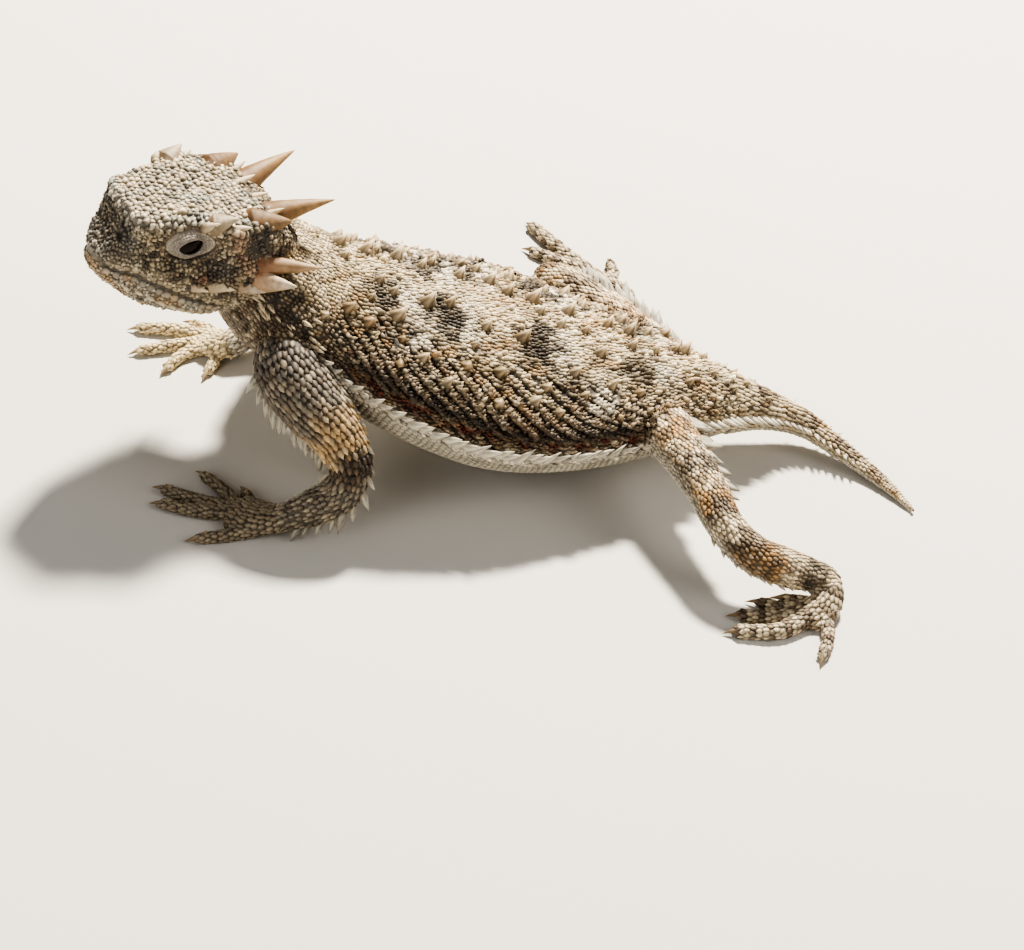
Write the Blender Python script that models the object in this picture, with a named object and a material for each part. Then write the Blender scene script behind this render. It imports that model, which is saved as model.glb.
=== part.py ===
"""Desert horned lizard, life size, as a still display model.

The animal faces -X with its left side towards -Y. It stands on its four feet and the end of its
tail, with the forequarters raised and the head turned to its left. Every solid reaches out to the
tips of the scales. The body is modelled as smooth tubes around a backbone and four limb lines, and
these are parted by thin cuts where a person would name the parts. Sizes are in millimetres.
"""
import bpy
import bmesh
import numpy as np
from mathutils import Vector

MM = 0.001
GAP = 0.3
UP = np.array([0.0, 0.0, 1.0])
FRAME_STEPS = 160

# Backbone from inside the skull to the tip of the tail, one row for each named station.
# x, y and height of the centre, half width, depth above the centre, depth below it.
BACKBONE = np.array([
    (-31.6, 2.8, 28.2, 5.8, 4.6, 6.0),    # inside the skull
    (-28.0, 2.3, 26.0, 7.0, 5.0, 8.0),    # nape
    (-24.2, 1.1, 23.2, 8.8, 5.8, 9.4),    # neck base
    (-19.8, 0.3, 20.2, 10.6, 6.6, 9.0),   # shoulders
    (-13.5, 0.0, 17.2, 13.0, 7.4, 8.0),   # chest
    (-6.0, 0.0, 14.4, 15.2, 8.0, 8.0),    # ribs
    (1.0, 0.2, 12.3, 16.0, 8.0, 8.0),     # belly
    (10.0, 0.4, 10.6, 14.2, 7.0, 7.3),    # loin
    (17.5, 0.6, 9.9, 11.2, 5.9, 6.6),     # hips
    (24.5, 1.4, 9.0, 7.6, 4.9, 5.0),      # vent
    (30.5, 3.0, 7.2, 4.6, 3.7, 3.5),      # tail root
    (35.9, 4.3, 5.3, 2.8, 2.5, 2.3),      # tail
    (40.9, 4.4, 3.5, 1.9, 1.75, 1.7),     # middle of the tail
    (45.5, 1.6, 2.0, 1.45, 1.3, 1.3),     # where the tail comes down
    (48.9, -1.2, 1.1, 1.2, 1.1, 1.1),     # where it meets the floor
    (51.6, -4.3, 0.75, 0.95, 0.85, 0.85),  # tail end
    (53.9, -7.8, 0.45, 0.5, 0.5, 0.5),    # tail tip
])
# Pieces of the backbone between two stations, with the rings and the points round each ring.
# A fraction lies between two stations.
BACKBONE_PARTS = {
    "neck": (0.0, 2.5, 6, 24),
    "trunk_front": (2.5, 4.6, 8, 24),
    "trunk_middle": (4.6, 6.6, 9, 24),
    "trunk_rear": (6.6, 9.3, 10, 24),
    "tail_root": (9.3, 11.0, 6, 20),
    "tail_middle": (11.0, 13.0, 6, 16),
    "tail_tip": (13.0, 16.0, 8, 12),
}
TRUNK_AROUND = 24
TRUNK_ROOM_RINGS = 44
BELLY_FLATNESS = 0.8
FRINGE_SPINE = 1.3
FRINGE_SEAM = 0.5
FRINGE_STATIONS = (3.4, 8.6)
FRINGE_FADE = 0.6
SIDE_CROWDING = 0.22

# Limbs from inside the trunk to the wrist or ankle.
# x, y and height of the centre, half width, half thickness.
LIMBS = {
    "left_arm": np.array([
        (-21.8, -3.6, 18.2, 4.3, 4.5),
        (-22.4, -9.4, 17.0, 4.6, 4.7),
        (-19.4, -13.4, 14.7, 4.1, 4.1),
        (-16.4, -16.0, 12.2, 3.3, 3.3),
        (-14.9, -17.8, 9.3, 2.7, 2.8),
        (-15.7, -18.6, 6.7, 2.6, 2.7),
        (-18.6, -19.0, 4.5, 2.5, 2.4),
        (-22.4, -19.3, 2.6, 1.9, 1.7),
    ]),
    "right_arm": np.array([
        (-20.6, 4.2, 18.6, 4.3, 4.5),
        (-22.8, 9.6, 17.1, 4.5, 4.5),
        (-22.4, 14.2, 13.8, 3.9, 3.9),
        (-21.8, 17.6, 10.6, 3.2, 3.2),
        (-22.8, 18.6, 7.6, 2.8, 2.8),
        (-25.4, 17.6, 5.4, 2.6, 2.5),
        (-28.2, 15.4, 3.8, 2.3, 2.1),
        (-30.4, 13.9, 2.6, 1.9, 1.7),
    ]),
    "left_leg": np.array([
        (21.0, -2.0, 9.6, 3.2, 3.3),
        (22.4, -6.5, 9.8, 3.3, 3.4),
        (24.6, -12.2, 9.8, 2.9, 3.0),
        (26.9, -17.8, 9.3, 2.6, 2.7),
        (28.8, -22.6, 8.3, 2.4, 2.4),
        (31.8, -25.3, 6.7, 2.5, 2.4),
        (36.6, -25.6, 4.9, 2.5, 2.4),
        (41.6, -24.6, 2.9, 1.8, 1.7),
    ]),
    "right_leg": np.array([
        (22.0, 2.0, 9.8, 3.2, 3.3),
        (20.8, 7.6, 10.4, 3.4, 3.5),
        (16.4, 13.4, 11.2, 3.1, 3.2),
        (11.6, 18.2, 11.5, 2.7, 2.8),
        (9.2, 21.6, 10.4, 2.5, 2.5),
        (10.8, 24.4, 8.4, 2.5, 2.4),
        (15.2, 26.8, 5.6, 2.5, 2.4),
        (20.2, 28.8, 3.2, 1.8, 1.7),
    ]),
}
# Each limb's two long pieces, as stations between the cuts, with their number of rings.
LIMB_PARTS = {
    "arm": {"upper_arm": (0.0, 3.9, 8), "forearm": (3.9, 7.0, 8)},
    "leg": {"thigh": (0.0, 4.0, 8), "shank": (4.0, 7.0, 8)},
}
LIMB_AROUND = 12
PALM_AROUND = 10
# Palms and soles, from inside the wrist or ankle; rows as for the limbs.
PALMS = {
    "left_arm": np.array([
        (-21.6, -19.4, 2.9, 1.7, 1.6),
        (-23.4, -19.0, 2.1, 2.3, 1.5),
        (-25.8, -18.1, 1.3, 3.1, 1.35),
        (-28.0, -16.8, 1.0, 3.0, 1.1),
    ]),
    "right_arm": np.array([
        (-29.8, 13.6, 2.9, 1.7, 1.6),
        (-30.8, 14.6, 2.1, 2.3, 1.5),
        (-32.0, 16.0, 1.3, 2.9, 1.35),
        (-33.2, 17.2, 1.0, 2.7, 1.1),
    ]),
    "left_leg": np.array([
        (41.2, -24.2, 3.0, 1.6, 1.6),
        (41.6, -26.2, 2.2, 1.8, 1.5),
        (40.6, -28.3, 1.25, 2.2, 1.3),
        (38.8, -29.5, 1.0, 2.1, 1.1),
    ]),
    "right_leg": np.array([
        (19.8, 28.4, 3.2, 1.6, 1.6),
        (19.3, 31.0, 2.3, 1.9, 1.5),
        (17.8, 34.0, 1.25, 2.3, 1.3),
        (16.2, 36.4, 1.0, 2.2, 1.1),
    ]),
}
PALM_RINGS = 5
PALM_NAMES = {"arm": "hand", "leg": "foot"}

# Digits from the inner one to the outer one: where each leaves the palm or sole, its middle
# and its end over the floor, x and y, and its half thickness at the palm.
DIGITS = {
    "left_arm": (
        (-25.6, -16.6, -26.6, -13.9, -27.2, -12.4, 0.85),
        (-27.2, -16.2, -30.3, -11.9, -32.2, -9.8, 0.90),
        (-28.0, -16.4, -33.8, -14.4, -36.8, -12.9, 0.95),
        (-27.8, -17.4, -33.6, -16.6, -36.8, -15.7, 0.95),
        (-25.4, -19.8, -29.4, -21.2, -32.2, -21.7, 0.90),
    ),
    "right_arm": (
        (-31.6, 14.6, -32.4, 12.2, -33.0, 10.6, 0.85),
        (-32.6, 15.8, -36.4, 13.6, -38.0, 11.0, 0.90),
        (-33.2, 16.6, -37.8, 15.5, -41.6, 14.2, 0.95),
        (-33.0, 17.6, -38.0, 19.0, -42.0, 19.0, 1.00),
        (-32.0, 17.6, -33.6, 19.8, -35.4, 20.8, 0.85),
    ),
    "left_leg": (
        (40.2, -27.0, 38.2, -26.3, 36.2, -25.9, 0.85),
        (39.8, -28.0, 36.4, -27.8, 33.4, -26.9, 0.95),
        (39.2, -28.8, 35.1, -29.7, 31.0, -29.4, 1.05),
        (39.2, -29.4, 35.4, -32.0, 30.4, -32.3, 1.15),
        (41.0, -28.0, 41.1, -32.5, 40.2, -35.8, 0.90),
    ),
    "right_leg": (
        (17.6, 34.0, 15.6, 34.3, 13.8, 35.0, 0.85),
        (16.8, 35.4, 13.6, 36.8, 11.0, 38.4, 0.95),
        (16.2, 36.2, 12.0, 39.6, 8.2, 42.2, 1.05),
        (16.2, 36.8, 12.0, 42.6, 8.4, 48.0, 1.15),
        (18.0, 35.2, 19.0, 38.0, 18.6, 40.6, 0.90),
    ),
}
DIGIT_AROUND = 8
DIGIT_RINGS = 4
DIGIT_TAPER = (1.0, 0.86, 0.68)
DIGIT_HEIGHTS = (0.95, 0.72, 0.52)
CLAW_LENGTH = 1.3
CLAW_RADIUS = 0.42
CLAW_DROP = 0.12
CLAW_AROUND = 6
CLAW_RINGS = 3

# The skull's own frame: its origin is at the middle of the back edge of the crown.
OCCIPUT = np.array([-28.3, 3.8, 32.3])
HEAD_TURN = np.radians(27.0)
HEAD_RISE = np.radians(6.0)
# Distance forward of the occiput, half width, crown, widest level, chin, squareness.
HEAD_STATIONS = np.array([
    (-3.2, 7.0, -1.8, -5.6, -10.4, 2.3),
    (-0.5, 8.7, 0.2, -5.4, -11.6, 2.6),
    (3.0, 9.5, 1.4, -5.4, -12.2, 2.8),
    (7.0, 9.2, 2.1, -5.2, -12.3, 3.0),
    (10.5, 8.3, 2.1, -5.0, -12.0, 3.1),
    (14.0, 6.8, 1.6, -5.0, -11.3, 3.0),
    (16.6, 5.1, 0.9, -5.2, -10.2, 2.8),
    (18.0, 4.1, -1.6, -5.4, -9.2, 2.4),
    (19.2, 2.9, -3.5, -5.6, -8.2, 2.2),
    (20.0, 1.6, -4.5, -5.9, -7.3, 2.0),
])
CROWN_SQUARENESS = 1.2
HEAD_AROUND = 26
HEAD_RINGS = 17
SNOUT_CROWDING = 0.12
# Swellings and hollows on each side of the head: place, reach and height, forward-left-up.
HEAD_FORMS = (
    ((8.5, 7.4, 1.4), (4.5, 1.8, 1.4), 0.9),      # brow ridge
    ((9.9, 7.8, -2.0), (2.9, 2.4, 1.9), 0.4),    # lids over the eye
    ((4.4, 9.0, -1.6), (2.2, 2.6, 2.0), -1.1),    # hollow temple
    ((2.5, 8.8, -7.4), (4.0, 2.6, 1.8), 0.6),     # jowl
    ((15.4, 4.0, 0.8), (1.6, 2.4, 1.0), 0.5),     # edge of the crown over the snout
    ((10.0, 0.0, 2.2), (4.5, 2.6, 2.0), -0.35),   # shallow middle of the crown
    ((15.2, 5.4, -2.8), (2.2, 2.0, 1.8), -0.5),   # hollow in front of the eye
    ((17.8, 2.4, -2.4), (1.0, 1.0, 0.9), 0.4),    # nostril
    ((14.0, 5.4, -9.4), (5.0, 2.2, 1.4), 0.3),    # lower jaw's edge
)
EYE_PLACE = (9.9, 6.2, -1.9)
EYE_RADIUS = 2.5
BALL_AROUND = 12
BALL_RINGS = 7
BALL_POLE = 0.2
# Side view of the lower jaw, forward and up: the lips, the corner of the mouth, the throat.
JAW_OUTLINE = (
    (24.0, -5.0), (19.2, -5.8), (16.6, -6.8), (13.0, -7.3), (9.6, -7.3),
    (7.2, -8.2), (5.0, -9.8), (4.4, -16.0), (24.0, -16.0),
)
# The jaw's block reaches this far to each side, past the cheeks.
JAW_BLOCK_REACH = 14.0
# Horns on each side: base, tip, half width and half height at the base, upward bow.
HORNS = {
    "occipital_horn": ((-0.4, 3.6, -1.3), (-7.8, 5.6, 1.7), 1.8, 1.7, 0.4),
    "short_horn": ((2.4, 6.2, -0.5), (-1.4, 7.6, 0.8), 1.8, 2.0, 0.2),
    "brow_horn": ((8.6, 6.9, 1.5), (5.9, 8.3, 2.5), 1.4, 1.1, 0.1),
    "upper_temporal_horn": ((2.0, 8.4, -4.4), (-4.4, 11.6, -3.6), 1.4, 1.2, 0.1),
    "lower_temporal_horn": ((2.7, 8.7, -6.1), (-0.8, 12.5, -5.1), 1.7, 1.2, 0.0),
    "cheek_horn": ((5.4, 8.4, -7.3), (3.2, 10.7, -7.3), 1.1, 0.8, 0.0),
}
HORN_AROUND = 8
HORN_RINGS = 5
HORN_ROOT = 0.3
HORN_TIP = 0.22

# The block under the floor that trims the soles: x and y ranges and depth.
FLOOR_BLOCK = (-70.0, 80.0, -70.0, 70.0, 20.0)

COLOURS = {
    "skin": ((0.46, 0.36, 0.24, 1.0), 0.8),
    "horn": ((0.52, 0.31, 0.17, 1.0), 0.45),
    "claw": ((0.20, 0.13, 0.08, 1.0), 0.4),
    "eye": ((0.02, 0.015, 0.01, 1.0), 0.05),
}


def unit(vectors):
    """Each vector divided by its length."""
    return vectors / np.linalg.norm(vectors, axis=-1, keepdims=True)


def way(stations):
    """Distance of each station from the first, straight from one to the next."""
    steps = np.linalg.norm(np.diff(stations[:, :3], axis=0), axis=1)
    return np.concatenate([[0.0], np.cumsum(steps)])


def through(stations, places):
    """Smooth values at distances along the stations.

    Cubic Hermite pieces. The slope at a station is the mean of the slopes on its two sides, each
    weighted by the length of the other side.
    """
    along = way(stations)
    length = np.diff(along)[:, None]
    slope = np.diff(stations, axis=0) / length
    inner = (slope[:-1] * length[1:] + slope[1:] * length[:-1]) / (length[:-1] + length[1:])
    slopes = np.vstack([slope[:1], inner, slope[-1:]])
    row = np.clip(np.searchsorted(along, places, side="right") - 1, 0, len(along) - 2)
    span = length[row]
    t = (np.asarray(places)[:, None] - along[row][:, None]) / span
    return (stations[row] * (1 + 2 * t) * (1 - t) ** 2
            + stations[row + 1] * t ** 2 * (3 - 2 * t)
            + slopes[row] * span * t * (1 - t) ** 2
            - slopes[row + 1] * span * t ** 2 * (1 - t))


def distance_at(stations, row):
    """Distance along the stations at a row number, which may lie between two rows."""
    return np.interp(row, np.arange(len(stations)), way(stations))


def frame_at(stations, places):
    """Side and up directions square to the path at each place.

    The side starts level and is carried along the path without twist: at each small step the
    part of it that points along the path is taken away.
    """
    walk = np.linspace(0, way(stations)[-1], FRAME_STEPS)
    path = through(stations, walk)[:, :3]
    ahead = unit(np.gradient(path, axis=0))
    sides = [unit(np.cross(UP, ahead[0]))]
    for direction in ahead[1:]:
        side = sides[-1] - direction * (sides[-1] @ direction)
        sides.append(unit(side))
    side = np.column_stack([np.interp(places, walk, column) for column in np.array(sides).T])
    ahead = np.column_stack([np.interp(places, walk, column) for column in ahead.T])
    side, ahead = unit(side), unit(ahead)
    return side, np.cross(ahead, side)


def around_angles(count, crowding=0.0):
    """Angles round a section, drawn together at its two sides by the crowding."""
    turn = np.arange(count) * 2 * np.pi / count
    return turn - crowding * np.sin(2 * turn)


def tube(stations, places, count, grow=0.0):
    """Rings round a path: oval sections with the half width across and half thickness upward."""
    rows = through(stations, places)
    side, up = frame_at(stations, places)
    turn = around_angles(count)
    across = (rows[:, 3] + grow)[:, None] * np.cos(turn)
    upward = (rows[:, 4] + grow)[:, None] * np.sin(turn)
    return rows[:, None, :3] + across[..., None] * side[:, None] + upward[..., None] * up[:, None]


def backbone_tube(places, count, grow=0.0):
    """Rings round the backbone: a domed back, a flatter belly and a toothed fringe at each side.

    The fringe stands out at the section's two side points, high on every other ring, and fades
    out over a short way at the shoulders and the hips. A grown tube, which makes room for its
    neighbours, has the fringe high on every ring.
    """
    rows = through(BACKBONE, places)
    side, up = frame_at(BACKBONE, places)
    turn = around_angles(count, SIDE_CROWDING)
    station = np.interp(places, way(BACKBONE), np.arange(len(BACKBONE)))
    fade = np.clip((station - FRINGE_STATIONS[0]) / FRINGE_FADE, 0, 1)
    fade = fade * np.clip((FRINGE_STATIONS[1] - station) / FRINGE_FADE, 0, 1)
    between = FRINGE_SPINE if grow else FRINGE_SEAM
    spine = np.where(np.arange(len(places)) % 2 == 0, FRINGE_SPINE, between) * fade
    at_side = np.abs(np.sin(turn)) < 1e-6
    width = rows[:, 3, None] + grow + spine[:, None] * at_side
    height = np.where(np.sin(turn) > 0, rows[:, 4, None], rows[:, 5, None]) + grow
    flat = np.where(np.sin(turn) > 0, 1.0, BELLY_FLATNESS)
    upward = height * np.sign(np.sin(turn)) * np.abs(np.sin(turn)) ** flat
    across = width * np.cos(turn)
    return rows[:, None, :3] + across[..., None] * side[:, None] + upward[..., None] * up[:, None]


def head_axes():
    """Forward, left and up directions of the turned and raised head."""
    forward = np.array([-np.cos(HEAD_TURN) * np.cos(HEAD_RISE),
                        -np.sin(HEAD_TURN) * np.cos(HEAD_RISE), np.sin(HEAD_RISE)])
    left = unit(np.cross(UP, forward))
    return np.array([forward, left, np.cross(forward, left)])


def from_head(points):
    """Points given as forward, left and up of the occiput, brought into the model's frame."""
    return OCCIPUT + np.asarray(points, float) @ head_axes()


def head_grid(grow=0.0):
    """Rings round the head: squared ovals, wide at the cheeks, then the swellings and hollows.

    The oval's radius follows from the angle round it, and it is squarer above than below. Each
    swelling moves points away from the head's long axis by a bell-shaped amount.
    """
    first, last = HEAD_STATIONS[0, 0], HEAD_STATIONS[-1, 0]
    ease = np.linspace(0, 1, HEAD_RINGS)
    forward = first + (last - first) * (ease + SNOUT_CROWDING * np.sin(np.pi * ease) * (1 - ease))
    stations = np.column_stack([HEAD_STATIONS[:, :1], np.zeros((len(HEAD_STATIONS), 2)),
                                HEAD_STATIONS[:, 1:]])
    rows = through(stations, forward - first)
    width, crown, level, chin, square = rows[:, 3:].T[:, :, None]
    turn = around_angles(HEAD_AROUND)
    above = np.cos(turn) > 0
    power = square + CROWN_SQUARENESS * above
    height = np.where(above, crown - level, level - chin)
    radius = (np.abs(np.sin(turn)) / width) ** power + (np.abs(np.cos(turn)) / height) ** power
    radius = radius ** (-1 / power)
    left = radius * np.sin(turn)
    upward = level + radius * np.cos(turn)
    points = np.stack([forward[:, None] + 0 * left, left, upward], axis=-1)
    axis = np.stack([points[..., 0], 0 * left, level + 0 * left], axis=-1)
    outward = unit(points - axis)
    for place, reach, rise in HEAD_FORMS:
        mirrored = np.stack([points[..., 0], np.abs(points[..., 1]), points[..., 2]], axis=-1)
        distance = (((mirrored - place) / reach) ** 2).sum(axis=-1)
        points = points + (rise * np.exp(-distance))[..., None] * outward
    points = points + grow * outward
    points[0, :, 0] -= grow
    points[-1, :, 0] += grow
    return from_head(points)


def cone_rings(base, tip, wide, high, bow, count=HORN_RINGS, around=HORN_AROUND):
    """Rings of a horn or claw: a cone that thins faster towards its tip and bows upwards."""
    base, tip = np.asarray(base, float), np.asarray(tip, float)
    ahead = unit(tip - base)
    side = unit(np.cross(UP, ahead))
    up = np.cross(ahead, side)
    t = np.linspace(0, 1, count)[:, None, None]
    turn = around_angles(around)[None, :, None]
    thin = (1 - t) ** 0.9 + HORN_TIP * t
    middle = base + (tip - base) * t + up * bow * np.sin(np.pi * t)
    return middle + thin * (side * wide * np.cos(turn) + up * high * np.sin(turn))


def material(name):
    """Principled material for one of the named surfaces."""
    made = bpy.data.materials.get(name)
    if made is None:
        made = bpy.data.materials.new(name)
        made.use_nodes = True
        colour, roughness = COLOURS[name]
        shader = made.node_tree.nodes["Principled BSDF"]
        shader.inputs["Base Color"].default_value = colour
        shader.inputs["Roughness"].default_value = roughness
        shader.inputs["Metallic"].default_value = 0.0
    return made


def closed_mesh(name, rings, surface):
    """Object from rings of points: four-sided faces between rings and a flat face on each end."""
    count, around = rings.shape[:2]
    index = np.arange(count * around).reshape(count, around)
    after = np.roll(index, -1, axis=1)
    faces = np.stack([index[:-1], after[:-1], after[1:], index[1:]], axis=-1).reshape(-1, 4).tolist()
    faces += [index[0, ::-1].tolist(), index[-1].tolist()]
    points = rings.reshape(-1, 3) * MM
    centre = points.mean(axis=0)
    mesh = bpy.data.meshes.new(name)
    mesh.from_pydata((points - centre).tolist(), [], faces)
    shape = bmesh.new()
    shape.from_mesh(mesh)
    if shape.calc_volume(signed=True) < 0:
        bmesh.ops.reverse_faces(shape, faces=shape.faces)
    shape.to_mesh(mesh)
    shape.free()
    mesh.shade_smooth()
    mesh.materials.append(material(surface))
    made = bpy.data.objects.new(name, mesh)
    made.location = Vector(centre)
    made.parent = MODEL
    bpy.context.collection.objects.link(made)
    return made


def ball(name, centre, radius, surface):
    """Closed ball from rings that run from one pole to the other."""
    turn = around_angles(BALL_AROUND)[None, :, None]
    tilt = np.linspace(BALL_POLE, np.pi - BALL_POLE, BALL_RINGS)[:, None, None]
    left = head_axes()[1]
    forward = head_axes()[0]
    up = head_axes()[2]
    rings = left * np.cos(tilt) + np.sin(tilt) * (forward * np.cos(turn) + up * np.sin(turn))
    return closed_mesh(name, centre + radius * rings, surface)


def as_cutter(shape):
    """Keep a shape out of the model; it only cuts or joins others."""
    shape.hide_render = True
    shape.display_type = "WIRE"
    return shape


def combine(target, other, operation):
    """Cut, join or overlap the target with another shape."""
    step = target.modifiers.new(f"{operation.lower()}_{other.name}", "BOOLEAN")
    step.operation = operation
    step.solver = "EXACT"
    step.object = other


def places_between(stations, start, end, rings):
    """Evenly spaced distances between two cuts, each drawn back by half the gap."""
    first = distance_at(stations, start) + (GAP / 2 if start > 0 else 0)
    last = distance_at(stations, end) - (GAP / 2 if end < len(stations) - 1 else 0)
    return np.linspace(first, last, rings)


def build_backbone(head_room, floor):
    """Neck, trunk and tail. The neck is cut by the head, and the end of the tail by the floor."""
    for name, (start, end, rings, around) in BACKBONE_PARTS.items():
        places = places_between(BACKBONE, start, end, rings)
        part = closed_mesh(name, backbone_tube(places, around), "skin")
        if name == "neck":
            combine(part, head_room, "DIFFERENCE")
        if name == "tail_tip":
            combine(part, floor, "DIFFERENCE")


def build_limb(side, kind, trunk_room, floor):
    """The two long pieces of one limb, each cut clear of the one before it, and the hand or foot."""
    limb = f"{side}_{kind}"
    stations = LIMBS[limb]
    room = trunk_room
    for name, (start, end, rings) in LIMB_PARTS[kind].items():
        places = places_between(stations, start, end, rings)
        part = closed_mesh(f"{side}_{name}", tube(stations, places, LIMB_AROUND), "skin")
        combine(part, room, "DIFFERENCE")
        rings_of_room = tube(stations, places, LIMB_AROUND, GAP)
        room = as_cutter(closed_mesh(f"{side}_{name}_room", rings_of_room, "skin"))
    build_palm(limb, f"{side}_{PALM_NAMES[kind]}", room, floor)


def build_palm(limb, name, wrist_room, floor):
    """A palm or sole with its five digits joined to it, cut clear of the limb, and the claws."""
    stations = PALMS[limb]
    places = np.linspace(0, way(stations)[-1], PALM_RINGS)
    palm = closed_mesh(name, tube(stations, places, PALM_AROUND), "skin")
    for number, digit in enumerate(DIGITS[limb], start=1):
        line = digit_line(digit)
        places = np.linspace(0, way(line)[-1], DIGIT_RINGS)
        rings = tube(line, places, DIGIT_AROUND)
        combine(palm, as_cutter(closed_mesh(f"{limb}_digit_{number}", rings, "skin")), "UNION")
        ahead = unit(line[2, :3] - line[1, :3])
        base = line[2, :3] + ahead * GAP
        tip = base + ahead * CLAW_LENGTH
        tip[2] = base[2] - CLAW_DROP
        claw = cone_rings(base, tip, CLAW_RADIUS, CLAW_RADIUS, 0.0, CLAW_RINGS, CLAW_AROUND)
        closed_mesh(f"{limb}_claw_{number}", claw, "claw")
    combine(palm, wrist_room, "DIFFERENCE")
    combine(palm, floor, "DIFFERENCE")


def digit_line(digit):
    """Stations of one digit: it leaves the palm high, and its end lies low on the floor."""
    radii = digit[6] * np.array(DIGIT_TAPER)
    return np.column_stack([np.array(digit[:6]).reshape(3, 2), DIGIT_HEIGHTS, radii, radii])


def build_head(head_room, trunk_room):
    """Skull with eye sockets, lower jaw, eyes and horns."""
    head = closed_mesh("head", head_grid(), "skin")
    jaw = closed_mesh("lower_jaw", head_grid(), "skin")
    combine(jaw, as_cutter(jaw_block("jaw_block", 0.0)), "INTERSECT")
    combine(head, as_cutter(jaw_block("jaw_room", GAP)), "DIFFERENCE")
    for side, sign in (("left", 1), ("right", -1)):
        mirror = np.array([1, sign, 1])
        centre = from_head(np.array(EYE_PLACE) * mirror)
        ball(f"{side}_eye", centre, EYE_RADIUS, "eye")
        combine(head, as_cutter(ball(f"{side}_socket", centre, EYE_RADIUS + GAP, "skin")), "DIFFERENCE")
        for name, (base, tip, wide, high, bow) in HORNS.items():
            base, tip = from_head(np.array(base) * mirror), from_head(np.array(tip) * mirror)
            root = base - (tip - base) * HORN_ROOT
            horn = closed_mesh(f"{side}_{name}", cone_rings(root, tip, wide, high, bow), "horn")
            combine(horn, head_room, "DIFFERENCE")
            combine(horn, trunk_room, "DIFFERENCE")


def jaw_block(name, grow):
    """Upright block across the head with the lower jaw's side view as its outline."""
    outline = np.array(JAW_OUTLINE)
    middle = outline.mean(axis=0)
    outline = outline + grow * unit(outline - middle)
    rings = [[(forward, left, up) for forward, up in outline] for left in (-JAW_BLOCK_REACH, JAW_BLOCK_REACH)]
    return closed_mesh(name, from_head(rings), "skin")


def build_model():
    """Make every part, then bring the middle of the model's underside to the origin."""
    head_room = as_cutter(closed_mesh("head_room", head_grid(GAP), "skin"))
    places = places_between(BACKBONE, 0.0, 10.0, TRUNK_ROOM_RINGS)
    trunk_room = as_cutter(closed_mesh("trunk_room", backbone_tube(places, TRUNK_AROUND, GAP), "skin"))
    low_x, high_x, low_y, high_y, depth = FLOOR_BLOCK
    outline = ((low_x, low_y), (high_x, low_y), (high_x, high_y), (low_x, high_y))
    slab = [[(x, y, z) for x, y in outline] for z in (-depth, 0.0)]
    floor = as_cutter(closed_mesh("floor_room", np.array(slab), "skin"))
    build_head(head_room, trunk_room)
    build_backbone(head_room, floor)
    for side in ("left", "right"):
        build_limb(side, "arm", trunk_room, floor)
        build_limb(side, "leg", trunk_room, floor)
    bpy.context.view_layer.update()
    recentre()


def recentre():
    """Move the parent so that the bottom centre of all visible parts is at the origin."""
    depsgraph = bpy.context.evaluated_depsgraph_get()
    corners = []
    for shape in bpy.data.objects:
        if shape.type == "MESH" and not shape.hide_render:
            seen = shape.evaluated_get(depsgraph)
            points = np.empty(len(seen.data.vertices) * 3)
            seen.data.vertices.foreach_get("co", points)
            points = points.reshape(-1, 3) + np.array(shape.matrix_world.translation)
            corners += [points.min(axis=0), points.max(axis=0)]
    low, high = np.min(corners, axis=0), np.max(corners, axis=0)
    MODEL.location = (-(low[0] + high[0]) / 2, -(low[1] + high[1]) / 2, -low[2])


for old in list(bpy.data.objects):
    bpy.data.objects.remove(old, do_unlink=True)
MODEL = bpy.data.objects.new("lizard", None)
bpy.context.collection.objects.link(MODEL)
build_model()
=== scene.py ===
import bpy
import numpy as np
from mathutils import Matrix, Vector
from mathutils.bvhtree import BVHTree
from mathutils.kdtree import KDTree


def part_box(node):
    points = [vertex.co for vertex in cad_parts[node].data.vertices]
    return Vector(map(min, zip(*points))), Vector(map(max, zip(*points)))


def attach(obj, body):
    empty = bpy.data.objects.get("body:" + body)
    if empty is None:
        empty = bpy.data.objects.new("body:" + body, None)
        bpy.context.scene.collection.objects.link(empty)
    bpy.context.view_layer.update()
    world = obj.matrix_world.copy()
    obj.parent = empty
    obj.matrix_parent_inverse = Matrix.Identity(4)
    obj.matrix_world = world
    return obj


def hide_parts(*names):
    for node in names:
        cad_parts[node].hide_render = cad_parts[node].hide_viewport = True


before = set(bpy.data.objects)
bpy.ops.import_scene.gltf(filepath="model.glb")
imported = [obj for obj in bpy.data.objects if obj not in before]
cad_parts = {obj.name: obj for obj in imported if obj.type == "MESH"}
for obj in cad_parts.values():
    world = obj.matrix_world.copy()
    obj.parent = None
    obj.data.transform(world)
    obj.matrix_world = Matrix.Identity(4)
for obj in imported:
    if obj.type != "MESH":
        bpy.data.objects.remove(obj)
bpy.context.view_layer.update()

# The head's place and the model's frame.
# Lengths are in millimetres. The head is turned to its left and a little raised, and its own frame
# counts forward, left and up from the middle of the back edge of the crown.
MM = 0.001
UP = np.array([0.0, 0.0, 1.0])
OCCIPUT = np.array([-28.3, 3.8, 32.3])
HEAD_TURN = np.radians(27.0)
HEAD_RISE = np.radians(6.0)
EYE_PLACE = np.array([9.9, 6.2, -1.9])


def unit(vectors):
    """Each vector divided by its length."""
    return vectors / np.maximum(np.linalg.norm(vectors, axis=-1, keepdims=True), 1e-9)


FORWARD = np.array([-np.cos(HEAD_TURN) * np.cos(HEAD_RISE),
                    -np.sin(HEAD_TURN) * np.cos(HEAD_RISE), np.sin(HEAD_RISE)])
LEFTWARD = unit(np.cross(UP, FORWARD))
HEAD_AXES = np.array([FORWARD, LEFTWARD, np.cross(FORWARD, LEFTWARD)])


def from_head(points):
    """Points given as forward, left and up of the occiput, brought into the model's frame."""
    return OCCIPUT + np.asarray(points, float) @ HEAD_AXES


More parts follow.
